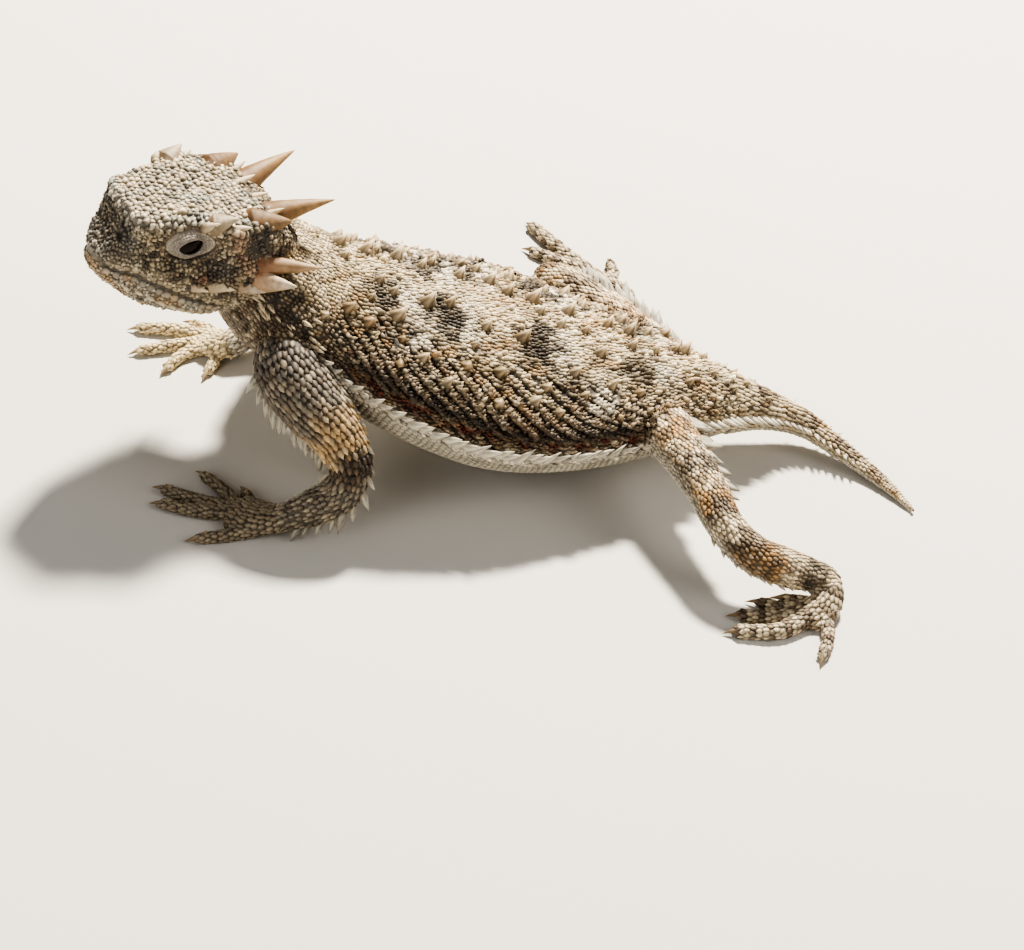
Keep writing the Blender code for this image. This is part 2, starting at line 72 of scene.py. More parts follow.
def to_head(points):
    """Points of the model's frame given as forward, left and up of the occiput."""
    return (points - OCCIPUT) @ HEAD_AXES.T


EYE_BOX = np.array(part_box("left_eye")) / MM
SHIFT = EYE_BOX.mean(axis=0) - from_head(EYE_PLACE)


def placed(points):
    """Points of the model's frame, in millimetres, as metres in the row's frame."""
    return (points + SHIFT) * MM


# The viewpoint and the studio.
# The camera stands in front of the left flank and looks down on the back, rolled a little as the
# photograph is. A soft key light comes from behind the far flank, as the sun does, with weak fills.
VIEW_TURN, VIEW_RISE, VIEW_ROLL = np.radians((-4.1, 37.8, 6.2))
VIEW_DISTANCE = 400.0
VIEW_LENS = 114.75
VIEW_SHIFT = (0.040, -0.0283)
back = np.array([np.sin(VIEW_TURN) * np.cos(VIEW_RISE),
                 -np.cos(VIEW_TURN) * np.cos(VIEW_RISE), np.sin(VIEW_RISE)])
level = np.array([np.cos(VIEW_TURN), np.sin(VIEW_TURN), 0.0])
raised = np.cross(back, level)
view_x = np.cos(VIEW_ROLL) * level + np.sin(VIEW_ROLL) * raised
view_y = -np.sin(VIEW_ROLL) * level + np.cos(VIEW_ROLL) * raised
camera = bpy.data.objects.new("camera", bpy.data.cameras.new("camera"))
camera.data.sensor_width = 36.0
camera.data.lens = VIEW_LENS
camera.data.shift_x, camera.data.shift_y = VIEW_SHIFT
camera.data.clip_start = 0.01
turned = Matrix(np.column_stack([view_x, view_y, back]).tolist()).to_4x4()
camera.matrix_world = Matrix.Translation(Vector(placed(back * VIEW_DISTANCE))) @ turned
bpy.context.collection.objects.link(camera)
bpy.context.scene.camera = camera

# Each light: its place, the edge of its square, its power and its colour.
LIGHTS = {
    "key": ((0.10, 0.34, 0.56), 0.08, 13.0, (1.0, 0.94, 0.83)),
    "fill": ((-0.42, -0.48, 0.32), 0.40, 1.5, (1.0, 0.97, 0.93)),
    "side": ((0.50, -0.20, 0.40), 0.30, 1.1, (1.0, 0.96, 0.90)),
}
for name, (place, size, power, colour) in LIGHTS.items():
    lamp = bpy.data.lights.new(name, "AREA")
    lamp.size = size
    lamp.energy = power
    lamp.color = colour
    lamp_object = bpy.data.objects.new(name, lamp)
    lamp_object.location = place
    lamp_object.rotation_euler = (-Vector(place)).to_track_quat("-Z", "Y").to_euler()
    bpy.context.collection.objects.link(lamp_object)

world = bpy.data.worlds.new("studio")
world.use_nodes = True
world.node_tree.nodes["Background"].inputs["Color"].default_value = (0.95, 0.94, 0.92, 1.0)
world.node_tree.nodes["Background"].inputs["Strength"].default_value = 0.20
bpy.context.scene.world = world
bpy.context.scene.view_settings.look = "AgX - High Contrast"

floor_mesh = bpy.data.meshes.new("floor")
FLOOR_HALF = 1.5
floor_mesh.from_pydata([(x * FLOOR_HALF, y * FLOOR_HALF, 0.0) for x, y in
                        ((-1, -1), (1, -1), (1, 1), (-1, 1))], [], [(0, 1, 2, 3)])
floor = bpy.data.objects.new("floor", floor_mesh)
floor_paint = bpy.data.materials.new("floor_paint")
floor_paint.use_nodes = True
floor_shader = floor_paint.node_tree.nodes["Principled BSDF"]
floor_shader.inputs["Base Color"].default_value = (0.62, 0.60, 0.56, 1.0)
floor_shader.inputs["Roughness"].default_value = 0.9
floor_mesh.materials.append(floor_paint)
bpy.context.collection.objects.link(floor)

# The skin under the scales.
# One hide wraps trunk, head, limbs, toes and tail. Each form is a path with oval sections, a point
# on it follows from a distance along the path and a turn round it, and the coat's depth is taken
# off all over. The forms are then fused on a fine lattice and smoothed where they meet.

# x, y and height of the centre, half width, depth above the centre, depth below it.
BACKBONE = np.array([
    (-31.6, 2.8, 28.2, 5.8, 4.6, 6.0), (-28.0, 2.3, 26.0, 7.0, 5.0, 8.0),
    (-24.2, 1.1, 23.2, 8.8, 5.8, 9.4), (-19.8, 0.3, 20.2, 10.6, 6.6, 9.0),
    (-13.5, 0.0, 17.2, 13.0, 7.4, 8.0), (-6.0, 0.0, 14.4, 15.2, 8.0, 8.0),
    (1.0, 0.2, 12.3, 16.0, 8.0, 8.0), (10.0, 0.4, 10.6, 14.2, 7.0, 7.3),
    (17.5, 0.6, 9.9, 11.2, 5.9, 6.6), (24.5, 1.4, 9.0, 7.6, 4.9, 5.0),
    (30.5, 3.0, 7.2, 4.6, 3.7, 3.5), (35.9, 4.3, 5.3, 2.8, 2.5, 2.3),
    (40.9, 4.4, 3.5, 1.9, 1.75, 1.7), (45.5, 1.6, 2.0, 1.45, 1.3, 1.3),
    (48.9, -1.2, 1.1, 1.2, 1.1, 1.1), (51.6, -4.3, 0.75, 0.95, 0.85, 0.85),
    (53.9, -7.8, 0.45, 0.5, 0.5, 0.5),
])
# x, y and height of the centre, half width, half thickness.
LIMBS = {
    "left_arm": np.array([
        (-21.8, -3.6, 18.2, 4.3, 4.5), (-22.4, -9.4, 17.0, 4.6, 4.7), (-19.4, -13.4, 14.7, 4.1, 4.1),
        (-16.4, -16.0, 12.2, 3.3, 3.3), (-14.9, -17.8, 9.3, 2.7, 2.8), (-15.7, -18.6, 6.7, 2.6, 2.7),
        (-18.6, -19.0, 4.5, 2.5, 2.4), (-22.4, -19.3, 2.6, 1.9, 1.7)]),
    "right_arm": np.array([
        (-20.6, 4.2, 18.6, 4.3, 4.5), (-22.8, 9.6, 17.1, 4.5, 4.5), (-22.4, 14.2, 13.8, 3.9, 3.9),
        (-21.8, 17.6, 10.6, 3.2, 3.2), (-22.8, 18.6, 7.6, 2.8, 2.8), (-25.4, 17.6, 5.4, 2.6, 2.5),
        (-28.2, 15.4, 3.8, 2.3, 2.1), (-30.4, 13.9, 2.6, 1.9, 1.7)]),
    "left_leg": np.array([
        (21.0, -2.0, 9.6, 3.2, 3.3), (22.4, -6.5, 9.8, 3.3, 3.4), (24.6, -12.2, 9.8, 2.9, 3.0),
        (26.9, -17.8, 9.3, 2.6, 2.7), (28.8, -22.6, 8.3, 2.4, 2.4), (31.8, -25.3, 6.7, 2.5, 2.4),
        (36.6, -25.6, 4.9, 2.5, 2.4), (41.6, -24.6, 2.9, 1.8, 1.7)]),
    "right_leg": np.array([
        (22.0, 2.0, 9.8, 3.2, 3.3), (20.8, 7.6, 10.4, 3.4, 3.5), (16.4, 13.4, 11.2, 3.1, 3.2),
        (11.6, 18.2, 11.5, 2.7, 2.8), (9.2, 21.6, 10.4, 2.5, 2.5), (10.8, 24.4, 8.4, 2.5, 2.4),
        (15.2, 26.8, 5.6, 2.5, 2.4), (20.2, 28.8, 3.2, 1.8, 1.7)]),
}
PALMS = {
    "left_arm": np.array([(-21.6, -19.4, 2.9, 1.7, 1.6), (-23.4, -19.0, 2.1, 2.3, 1.5),
                          (-25.8, -18.1, 1.3, 3.1, 1.35), (-28.0, -16.8, 1.0, 3.0, 1.1)]),
    "right_arm": np.array([(-29.8, 13.6, 2.9, 1.7, 1.6), (-30.8, 14.6, 2.1, 2.3, 1.5),
                           (-32.0, 16.0, 1.3, 2.9, 1.35), (-33.2, 17.2, 1.0, 2.7, 1.1)]),
    "left_leg": np.array([(41.2, -24.2, 3.0, 1.6, 1.6), (41.6, -26.2, 2.2, 1.8, 1.5),
                          (40.6, -28.3, 1.25, 2.2, 1.3), (38.8, -29.5, 1.0, 2.1, 1.1)]),
    "right_leg": np.array([(19.8, 28.4, 3.2, 1.6, 1.6), (19.3, 31.0, 2.3, 1.9, 1.5),
                           (17.8, 34.0, 1.25, 2.3, 1.3), (16.2, 36.4, 1.0, 2.2, 1.1)]),
}
# Each digit from the inner one outwards: x and y of its start, middle and end, half thickness.
DIGITS = {
    "left_arm": (
        (-25.6, -16.6, -26.6, -13.9, -27.2, -12.4, 0.85), (-27.2, -16.2, -30.3, -11.9, -32.2, -9.8, 0.90),
        (-28.0, -16.4, -33.8, -14.4, -36.8, -12.9, 0.95), (-27.8, -17.4, -33.6, -16.6, -36.8, -15.7, 0.95),
        (-25.4, -19.8, -29.4, -21.2, -32.2, -21.7, 0.90)),
    "right_arm": (
        (-31.6, 14.6, -32.4, 12.2, -33.0, 10.6, 0.85), (-32.6, 15.8, -36.4, 13.6, -38.0, 11.0, 0.90),
        (-33.2, 16.6, -37.8, 15.5, -41.6, 14.2, 0.95), (-33.0, 17.6, -38.0, 19.0, -42.0, 19.0, 1.00),
        (-32.0, 17.6, -33.6, 19.8, -35.4, 20.8, 0.85)),
    "left_leg": (
        (40.2, -27.0, 38.2, -26.3, 36.2, -25.9, 0.85), (39.8, -28.0, 36.4, -27.8, 33.4, -26.9, 0.95),
        (39.2, -28.8, 35.1, -29.7, 31.0, -29.4, 1.05), (39.2, -29.4, 35.4, -32.0, 30.4, -32.3, 1.15),
        (41.0, -28.0, 41.1, -32.5, 40.2, -35.8, 0.90)),
    "right_leg": (
        (17.6, 34.0, 15.6, 34.3, 13.8, 35.0, 0.85), (16.8, 35.4, 13.6, 36.8, 11.0, 38.4, 0.95),
        (16.2, 36.2, 12.0, 39.6, 8.2, 42.2, 1.05), (16.2, 36.8, 12.0, 42.6, 8.4, 48.0, 1.15),
        (18.0, 35.2, 19.0, 38.0, 18.6, 40.6, 0.90)),
}
DIGIT_TAPER = (1.0, 0.92, 0.80)
DIGIT_HEIGHTS = (0.95, 0.78, 0.60)
# Distance forward of the occiput, half width, crown, widest level, chin, squareness.
HEAD_STATIONS = np.array([
    (-3.2, 7.0, -1.8, -5.6, -10.4, 2.3), (-0.5, 8.7, 0.2, -5.4, -11.6, 2.6),
    (3.0, 9.5, 1.4, -5.4, -12.2, 2.8), (7.0, 9.2, 2.1, -5.2, -12.3, 3.0),
    (10.5, 8.3, 2.1, -5.0, -12.0, 3.1), (14.0, 6.8, 1.6, -5.0, -11.3, 3.0),
    (16.6, 5.1, 0.9, -5.2, -10.2, 2.8), (18.0, 4.1, -1.6, -5.4, -9.2, 2.4),
    (19.2, 2.9, -3.5, -5.6, -8.2, 2.2), (20.0, 1.6, -4.5, -5.9, -7.3, 2.0),
])
NOSTRIL = (17.9, 2.7, -1.9)
# Swellings and hollows on both sides of the head: place, reach and height, forward-left-up.
HEAD_FORMS = (
    ((11.2, 8.3, -1.9), (3.8, 2.6, 1.9), -1.1),   # face set back under the brow
    ((4.0, 9.0, -1.8), (2.2, 2.6, 2.2), -1.3),    # hollow temple
    ((2.5, 8.8, -7.4), (4.0, 2.6, 1.8), 0.6),     # jowl
    ((10.0, 0.0, 2.2), (4.5, 3.2, 2.0), -0.5),    # shallow middle of the crown
    ((17.9, 1.6, -0.8), (1.2, 2.2, 1.0), -0.4),   # hollow over the snout's tip
    ((16.2, 5.4, -2.6), (1.8, 2.0, 1.8), -0.5),   # hollow in front of the eye
    ((17.8, 2.6, -2.0), (0.9, 1.0, 0.8), 0.4),    # nostril's rim
    ((14.0, 5.4, -9.4), (5.0, 2.2, 1.4), 0.3),    # lower jaw's edge
    ((10.9, 7.6, -1.3), (2.8, 2.4, 2.0), -1.4),   # socket behind the lids
    (NOSTRIL, (0.6, 0.8, 0.5), -1.5),
)
CROWN_RIM = ((17.2, 0.0, 0.8), (16.9, 4.6, 0.8), (14.6, 6.9, 1.2), (11.5, 8.2, 1.5), (8.4, 8.8, 1.5))
TEMPLE_RIDGE = ((5.9, 9.2, 0.2), (5.0, 9.4, -2.0), (4.0, 9.4, -4.0))
# Ridges and grooves on both sides: the line they follow, reach and height, forward-left-up.
HEAD_RIDGES = (
    (CROWN_RIM, (0.75, 0.9, 0.75), 1.0),
    (((7.6, 8.8, 1.4), (3.6, 8.4, 1.2), (0.4, 7.2, 0.7)), (0.8, 0.9, 0.8), 0.5),    # rim behind the brow
    (((15.0, 6.2, -4.4), (11.4, 8.2, -4.7), (8.2, 9.0, -5.4)), (0.7, 1.6, 0.6), 0.35),   # under the eye
    (TEMPLE_RIDGE, (0.9, 1.6, 0.9), 0.6),
    (((20.4, 1.0, -5.2), (18.7, 3.3, -6.0), (16.4, 5.2, -6.0), (14.0, 6.8, -6.9), (10.4, 8.3, -8.4),
      (7.6, 9.0, -9.2)), (0.45, 2.0, 0.4), -0.6),   # closed lips
)
# Height of the closed lips at distances forward of the occiput.
LIP_LINE = np.array([(4.6, -9.8), (7.6, -9.2), (10.4, -8.4), (14.0, -6.9), (16.4, -6.0), (18.7, -6.0),
                     (20.4, -5.2)])


def way(stations):
    """Distance of each station from the first, straight from one to the next."""
    steps = np.linalg.norm(np.diff(stations[:, :3], axis=0), axis=1)
    return np.concatenate([[0.0], np.cumsum(steps)])


def through(stations, places):
    """Smooth values at distances along the stations: cubic Hermite pieces with averaged slopes."""
    along = way(stations)
    length = np.diff(along)[:, None]
    slope = np.diff(stations, axis=0) / length
    inner = (slope[:-1] * length[1:] + slope[1:] * length[:-1]) / (length[:-1] + length[1:])
    slopes = np.vstack([slope[:1], inner, slope[-1:]])
    row = np.clip(np.searchsorted(along, places, side="right") - 1, 0, len(along) - 2)
    span = length[row]
    t = (np.asarray(places)[:, None] - along[row][:, None]) / span
    return (stations[row] * (1 + 2 * t) * (1 - t) ** 2
            + stations[row + 1] * t ** 2 * (3 - 2 * t)
            + slopes[row] * span * t * (1 - t) ** 2
            - slopes[row + 1] * span * t ** 2 * (1 - t))


def frame_at(stations, places):
    """Side and up directions square to the path, carried along it without twist."""
    walk = np.linspace(0, way(stations)[-1], 160)
    ahead = unit(np.gradient(through(stations, walk)[:, :3], axis=0))
    sides = [unit(np.cross(UP, ahead[0]))]
    for direction in ahead[1:]:
        sides.append(unit(sides[-1] - direction * (sides[-1] @ direction)))
    side = unit(np.column_stack([np.interp(places, walk, column) for column in np.array(sides).T]))
    ahead = unit(np.column_stack([np.interp(places, walk, column) for column in ahead.T]))
    return side, np.cross(ahead, side)


def bell(distance):
    """Bell-shaped weight: one at zero, falling off over about one unit."""
    return np.exp(-distance ** 2)


def ramp(values, start, length):
    """Nought at the start, one at this length from it and past it; a negative length runs back."""
    return np.clip((values - start) / length, 0, 1)


def line_distance(points, line, reach):
    """Distance of points from the nearest stretch of a line, in units of the reach on each axis."""
    ends = np.array(line) / reach
    nearest = np.full(len(points), np.inf)
    for start, end in zip(ends[:-1], ends[1:]):
        way_on = end - start
        from_start = points / reach - start
        share = np.clip(from_start @ way_on / (way_on @ way_on), 0, 1)
        nearest = np.minimum(nearest, np.linalg.norm(from_start - share[:, None] * way_on, axis=1))
    return nearest


def mirrored(points):
    """Points with their sideways part made positive, so that one side stands for both."""
    return np.where((False, True, False), np.abs(points), points)


def lip_height(forward):
    """Height of the closed lips at a distance forward of the occiput."""
    return np.interp(forward, LIP_LINE[:, 0], LIP_LINE[:, 1])


def leftness(turn):
    """Place round the trunk: nought on the spine, one on the left fringe, two under the belly."""
    left = (turn - np.pi / 2) / (np.pi / 2)
    return np.where(left > 2, left - 4, left)


def flank_folds(station, over):
    """Slanting folds of the flanks: the wave, and how strong it is, from station and place round.

    A fold runs back as it goes down, its line wavers by two slow sines, and it is higher in some
    places than in others.
    """
    wander = 0.9 * np.sin(2.3 * station + 6.0 * over) + 0.6 * np.sin(5.1 * station - 4.0 * over)
    wave = np.sin(2 * np.pi * (3.1 * station - 10.6 * over) + wander)
    strength = bell((over - 0.64) / 0.29) * ramp(station, 2.9, 1) * ramp(station, 9.0, -1)
    broken = 0.5 * np.sin(5.3 * station + 11.0 * over) * np.sin(8.1 * station - 6.0 * over)
    return wave, strength * (0.85 + broken)


def tube_form(stations):
    """Form with oval sections along a path: half width across and half thickness upward."""
    def point(along, turn, sink):
        """Centre of the path + across by the turn's cosine + upward by its sine."""
        rows = through(stations, along)
        side, up = frame_at(stations, along)
        across = (rows[:, 3] - sink) * np.cos(turn)
        upward = (rows[:, 4] - sink) * np.sin(turn)
        return rows[:, :3] + across[:, None] * side + upward[:, None] * up
    return point, way(stations)[-1]


def trunk_point(along, turn, sink):
    """Backbone form: domed back, flatter belly, a fold over the fringe and a ridge that bears it.

    The height above the side point, as a part of a quarter turn, places the fold and the ridge.
    """
    rows = through(BACKBONE, along)
    side, up = frame_at(BACKBONE, along)
    station = np.interp(along, way(BACKBONE), np.arange(len(BACKBONE)))
    fade = ramp(station, 3.2, 0.8) * ramp(station, 8.8, -0.8)
    above = np.arcsin(np.clip(np.sin(turn), -1, 1)) / (np.pi / 2)
    grown = fade * (0.55 * bell(above / 0.055) - 0.55 * bell((above - 0.14) / 0.06))
    wave, strength = flank_folds(station, np.abs(leftness(turn % (2 * np.pi))))
    grown = grown + 0.95 * wave * strength
    width = rows[:, 3] - sink + grown
    height = np.where(np.sin(turn) > 0, rows[:, 4], rows[:, 5]) - sink + 0.5 * grown
    flat = np.where(np.sin(turn) > 0, 1.0, 0.8)
    upward = height * np.sign(np.sin(turn)) * np.abs(np.sin(turn)) ** flat
    return rows[:, :3] + (width * np.cos(turn))[:, None] * side + upward[:, None] * up


HEAD_START, HEAD_END = HEAD_STATIONS[0, 0], HEAD_STATIONS[-1, 0]
CROWN_SQUARENESS = 2.4


def head_local(along, turn, sink):
    """Head form in the head's own frame: squared ovals, then bell-shaped swellings and hollows.

    The oval's radius follows from the true angle round it, the half width and the half height.
    """
    stations = np.column_stack([HEAD_STATIONS[:, :1], np.zeros((len(HEAD_STATIONS), 2)),
                                HEAD_STATIONS[:, 1:]])
    width, crown, middle, chin, square = through(stations, along)[:, 3:].T
    above = np.cos(turn) > 0
    power = square + CROWN_SQUARENESS * above
    height = np.where(above, crown - middle, middle - chin)
    radius = (np.abs(np.sin(turn)) / width) ** power + (np.abs(np.cos(turn)) / height) ** power
    radius = radius ** (-1 / power)
    left = radius * np.sin(turn)
    upward = middle + radius * np.cos(turn)
    points = np.column_stack([HEAD_START + along, left, upward])
    outward = unit(points - np.column_stack([HEAD_START + along, 0 * left, middle]))
    for place, reach, rise in HEAD_FORMS:
        distance = (((mirrored(points) - place) / reach) ** 2).sum(axis=1)
        points = points + (rise * np.exp(-distance))[:, None] * outward
    for line, reach, rise in HEAD_RIDGES:
        points = points + (rise * bell(line_distance(mirrored(points), line, reach)))[:, None] * outward
    return points - sink * outward


def head_point(along, turn, sink):
    """The head form brought into the model's frame."""
    return from_head(head_local(along, turn, sink))


def digit_line(digit):
    """Stations of one digit: it leaves the palm high, and its end lies low on the floor."""
    radii = digit[6] * np.array(DIGIT_TAPER)
    return np.column_stack([np.array(digit[:6]).reshape(3, 2), DIGIT_HEIGHTS, radii, radii])


FORMS = {"trunk": (trunk_point, way(BACKBONE)[-1]), "head": (head_point, HEAD_END - HEAD_START)}
for limb in LIMBS:
    FORMS[limb] = tube_form(LIMBS[limb])
    FORMS[f"{limb}_palm"] = tube_form(PALMS[limb])
    for number, digit in enumerate(DIGITS[limb], start=1):
        FORMS[f"{limb}_digit_{number}"] = tube_form(digit_line(digit))
# Depth of the coat in millimetres, then the step of the forms' grids and of the lattice.
COAT_DEPTH = {"trunk": 0.32, "head": 0.22, "arm": 0.3, "leg": 0.3, "palm": 0.2, "digit": 0.14}
MESH_STEP = 0.45
LATTICE = 0.28
SMOOTHING_ROUNDS = 5


def depth_of(form):
    """How deep the skin lies under the scales' tips on this form."""
    kind = [word for word in ("digit", "palm", "trunk", "head", "arm", "leg") if word in form][0]
    return COAT_DEPTH[kind]


def grid_quads(rings, around):
    """Quads between rings of points: two neighbours of one ring, then the same two of the next."""
    index = np.arange(rings * around).reshape(rings, around)
    after = np.roll(index, -1, axis=1)
    return np.stack([index[:-1], after[:-1], after[1:], index[1:]], axis=-1).reshape(-1, 4)


def form_mesh(form):
    """Closed grid over one form: rings along it, each with points round it, and two end faces."""
    point, length = FORMS[form]
    rings = max(int(length / MESH_STEP), 6)
    once_round = np.linspace(0, 2 * np.pi, 64)
    middle = point(np.full(len(once_round), length / 2), once_round, 0.0)
    girth = np.linalg.norm(np.diff(middle, axis=0), axis=1).sum()
    around = max(int(girth / MESH_STEP), 16)
    along, turn = np.meshgrid(np.linspace(0, length, rings),
                              np.arange(around) * 2 * np.pi / around, indexing="ij")
    points = point(along.ravel(), turn.ravel(), depth_of(form))
    ends = [list(range(around))[::-1], list(range((rings - 1) * around, rings * around))]
    return points, grid_quads(rings, around).tolist() + ends


def fused_skin():
    """All forms as one closed surface: points, triangles and quads, still in millimetres."""
    points, faces, count = [], [], 0
    for form in FORMS:
        form_points, form_faces = form_mesh(form)
        faces += [[count + corner for corner in face] for face in form_faces]
        points.append(form_points)
        count += len(form_points)
    mesh = bpy.data.meshes.new("forms")
    mesh.from_pydata(np.vstack(points).tolist(), [], faces)
    forms = bpy.data.objects.new("forms", mesh)
    bpy.context.collection.objects.link(forms)
    fusing = forms.modifiers.new("fusing", "REMESH")
    fusing.mode = "VOXEL"
    fusing.voxel_size = LATTICE
    depsgraph = bpy.context.evaluated_depsgraph_get()
    fused = bpy.data.meshes.new_from_object(forms.evaluated_get(depsgraph))
    bpy.data.objects.remove(forms)
    return fused


def smoothed(points, edges, rounds):
    """Points moved half way to the mean of their neighbours, this many times."""
    first, second = edges.T
    ends, others = np.concatenate([first, second]), np.concatenate([second, first])
    count = np.maximum(np.bincount(ends, minlength=len(points)), 1)
    for _ in range(rounds):
        mean = np.column_stack([np.bincount(ends, points[others, axis], len(points)) / count
                                for axis in range(3)])
        points = 0.5 * points + 0.5 * mean
    return points


def points_of(mesh):
    """Places of all points of a mesh."""
    places = np.empty(len(mesh.vertices) * 3)
    mesh.vertices.foreach_get("co", places)
    return places.reshape(-1, 3)


skin_mesh = fused_skin()
skin_edges = np.empty(len(skin_mesh.edges) * 2, int)
skin_mesh.edges.foreach_get("vertices", skin_edges)
skin_points = smoothed(points_of(skin_mesh), skin_edges.reshape(-1, 2), SMOOTHING_ROUNDS)
SOLE_LEVEL = 0.06
skin_points[:, 2] = np.maximum(skin_points[:, 2], SOLE_LEVEL)
skin_mesh.vertices.foreach_set("co", skin_points.ravel())
skin_mesh.update()
skin_faces = [tuple(face.vertices) for face in skin_mesh.polygons]
SKIN_TREE = BVHTree.FromPolygons(skin_points.tolist(), skin_faces)

# Scales, their shapes and how they are laid.
# Each kind of scale is one small shape, in units of its half length, half width and height. It is
# laid many times over: along the body, across it, and outward from the skin.


def scale_shape(rings, top, shade):
    """Closed-sided scale from rings of points that rise to a top, as points, triangles and painted shades.

    A ring is (radii, height, shift towards the rear); the top is (rear shift, height). The shades,
    one to each ring and one to the top, darken the foot and the flutes' hollows as painted shade and
    brighten the top as a painted highlight.
    """
    sides = len(rings[0][0])
    turn = np.arange(sides) * 2 * np.pi / sides
    points = [np.column_stack([np.array(radii) * np.cos(turn) + shift, np.array(radii) * np.sin(turn),
                               np.full(sides, height)]) for radii, height, shift in rings]
    points.append([[top[0], 0.0, top[1]]])
    walls = grid_quads(len(rings), sides)[:, [0, 1, 2, 0, 2, 3]]
    last = np.arange(sides) + (len(rings) - 1) * sides
    crown = np.stack([last, np.roll(last, -1), np.full(sides, len(rings) * sides)], axis=-1)
    flute_shade = np.concatenate([(np.array(radii) / np.max(radii)) ** 3 for radii, height, shift in rings])
    shades = np.concatenate([np.repeat(shade[:-1], sides) * flute_shade, shade[-1:]])
    return np.vstack(points), np.vstack([walls.reshape(-1, 3), crown]), shades


def keeled_shape():
    """Pointed scale with a raised keel: six edge points, a ridge of two, and skirts into the skin.

    Its colour is darkened where it comes out from under its neighbours, as painted shade, and
    lightened on its keel and rear tip, as a painted highlight.
    """
    edge = np.array([(-0.9, 0.0), (-0.35, -0.85), (0.5, -0.72), (1.35, 0.0), (0.5, 0.72), (-0.35, 0.85)])
    skirt = np.column_stack([edge * 0.92, np.full(6, -0.8)])
    rim_height = np.array([0.0, 0.2, 0.45, 0.85, 0.45, 0.2])
    rim = np.column_stack([edge, rim_height])
    ridge = np.array([(-0.3, 0.0, 0.8), (0.75, 0.0, 1.15)])
    index, after = np.arange(6), np.roll(np.arange(6), -1)
    walls = np.stack([index, after, after + 6, index, after + 6, index + 6], axis=-1).reshape(-1, 3)
    crown = np.array([(6, 7, 12), (7, 8, 13), (7, 13, 12), (8, 9, 13), (9, 10, 13), (10, 11, 12),
                      (10, 12, 13), (11, 6, 12)])
    shades = np.array([0.2] * 6 + [0.3, 0.4, 0.75, 1.2, 0.75, 0.4] + [0.95, 1.3])
    return np.vstack([skirt, rim, ridge]), np.vstack([walls, crown]), shades


SIX, EIGHT = np.ones(6), np.ones(8)
UNEVEN = np.array([1.0, 0.80, 1.10, 0.88, 1.06, 0.78, 0.96])
RIBBED = np.tile([1.0, 0.78], 4)
# The last numbers of each shape are painted shades: dark at the foot, as shade between the scales, and above
# one at the top, as a painted highlight.
SHAPES = {
    "granule": scale_shape([(SIX, -0.7, 0.0), (SIX * 0.84, 0.45, 0.0)], (0.1, 1.0), (0.25, 0.75, 1.2)),
    "pebble": scale_shape([(UNEVEN, -0.7, 0.0), (UNEVEN * 0.80, 0.5, 0.05)], (0.25, 1.1), (0.22, 0.85, 1.3)),
    "plate": scale_shape([(SIX, -0.6, 0.0), (SIX * 0.9, 0.7, 0.05)], (0.1, 1.0), (0.4, 0.9, 1.05)),
    "keeled": keeled_shape(),
    "cone": scale_shape([(EIGHT * 1.15, -0.6, 0.0), (RIBBED * 1.0, 0.10, 0.0), (RIBBED * 0.55, 0.55, 0.12)],
                        (0.4, 1.25), (0.15, 0.5, 1.05, 1.45)),
    "spine": scale_shape([(EIGHT * 1.1, -0.3, 0.0), (RIBBED * 0.72, 0.45, 0.1)], (0.45, 1.3),
                         (0.6, 0.95, 1.1)),
}
# Half a scale's size and the free edge on the unrolled map; the depth at which rows are measured.
PATCH = 0.0015
MAP_EDGE = 0.02
ROW_DEPTH = 0.2
DICE = np.random.default_rng(11)


def on_skin(points):
    """Nearest places on the skin, its normals there, and how far away they are."""
    found = [SKIN_TREE.find_nearest(Vector(point)) for point in points]
    return [np.array([hit[part] for hit in found]) for part in (0, 1, 3)]


def rooted(form, along, turn, reach=1.2):
    """Roots on the skin with the ways to the rear and out, and which lie under no other form.

    The rear way is the change of the form's point over a short step along it. The way out is the
    skin's own normal there, found by the nearest place on the skin.
    """
    point, length = FORMS[form]
    sink = depth_of(form)
    step = 0.05
    here = point(along, turn, sink)
    ahead = unit(point(np.minimum(along + step, length), turn, sink)
                 - point(np.maximum(along - step, 0.0), turn, sink))
    near, out, away = on_skin(here)
    ahead = unit(ahead - out * (ahead * out).sum(axis=1, keepdims=True))
    return (near, ahead, out), away < reach


def rows_on(form, first, last, spacing, rows_apart, turns=(0.0, 2 * np.pi), jitter=0.12):
    """Distances and turns of scales in rows: evenly apart by arc length, each row half a step on."""
    point, length = FORMS[form]
    count = max(int((last - first) / rows_apart), 2)
    alongs, turned_to = [], []
    fine = np.linspace(turns[0], turns[1], 160)
    for number, place in enumerate(np.linspace(first, last, count)):
        arc = point(np.full(len(fine), place), fine, ROW_DEPTH)
        arc = np.concatenate([[0.0], np.cumsum(np.linalg.norm(np.diff(arc, axis=0), axis=1))])
        scales = max(int(round(arc[-1] / spacing)), 3)
        at = (np.arange(scales) + 0.5 * (number % 2) + 0.25) / scales * arc[-1]
        at = at + DICE.normal(0, jitter * spacing, scales)
        turned_to.append(np.interp(at % arc[-1], arc, fine))
        alongs.append(place + DICE.normal(0, jitter * rows_apart, scales))
    return np.clip(np.concatenate(alongs), 0, length), np.concatenate(turned_to)


def patch_of(form, along, turn):
    """Place of each root on the form unrolled flat: its share of the length and of a full turn."""
    return np.column_stack([along / FORMS[form][1], (turn % (2 * np.pi)) / (2 * np.pi)])


TAKEN = []


def clear_of(points, apart, keep):
    """Keeps only the scales with no earlier scale, or kept scale, closer than this."""
    tree = KDTree(max(len(TAKEN), 1))
    for number, taken in enumerate(TAKEN):
        tree.insert(taken, number)
    tree.balance()
    if TAKEN:
        near = np.array([tree.find(place)[2] for place in points])
        keep = keep & (near > apart)
    TAKEN.extend(points[keep].tolist())
    return keep


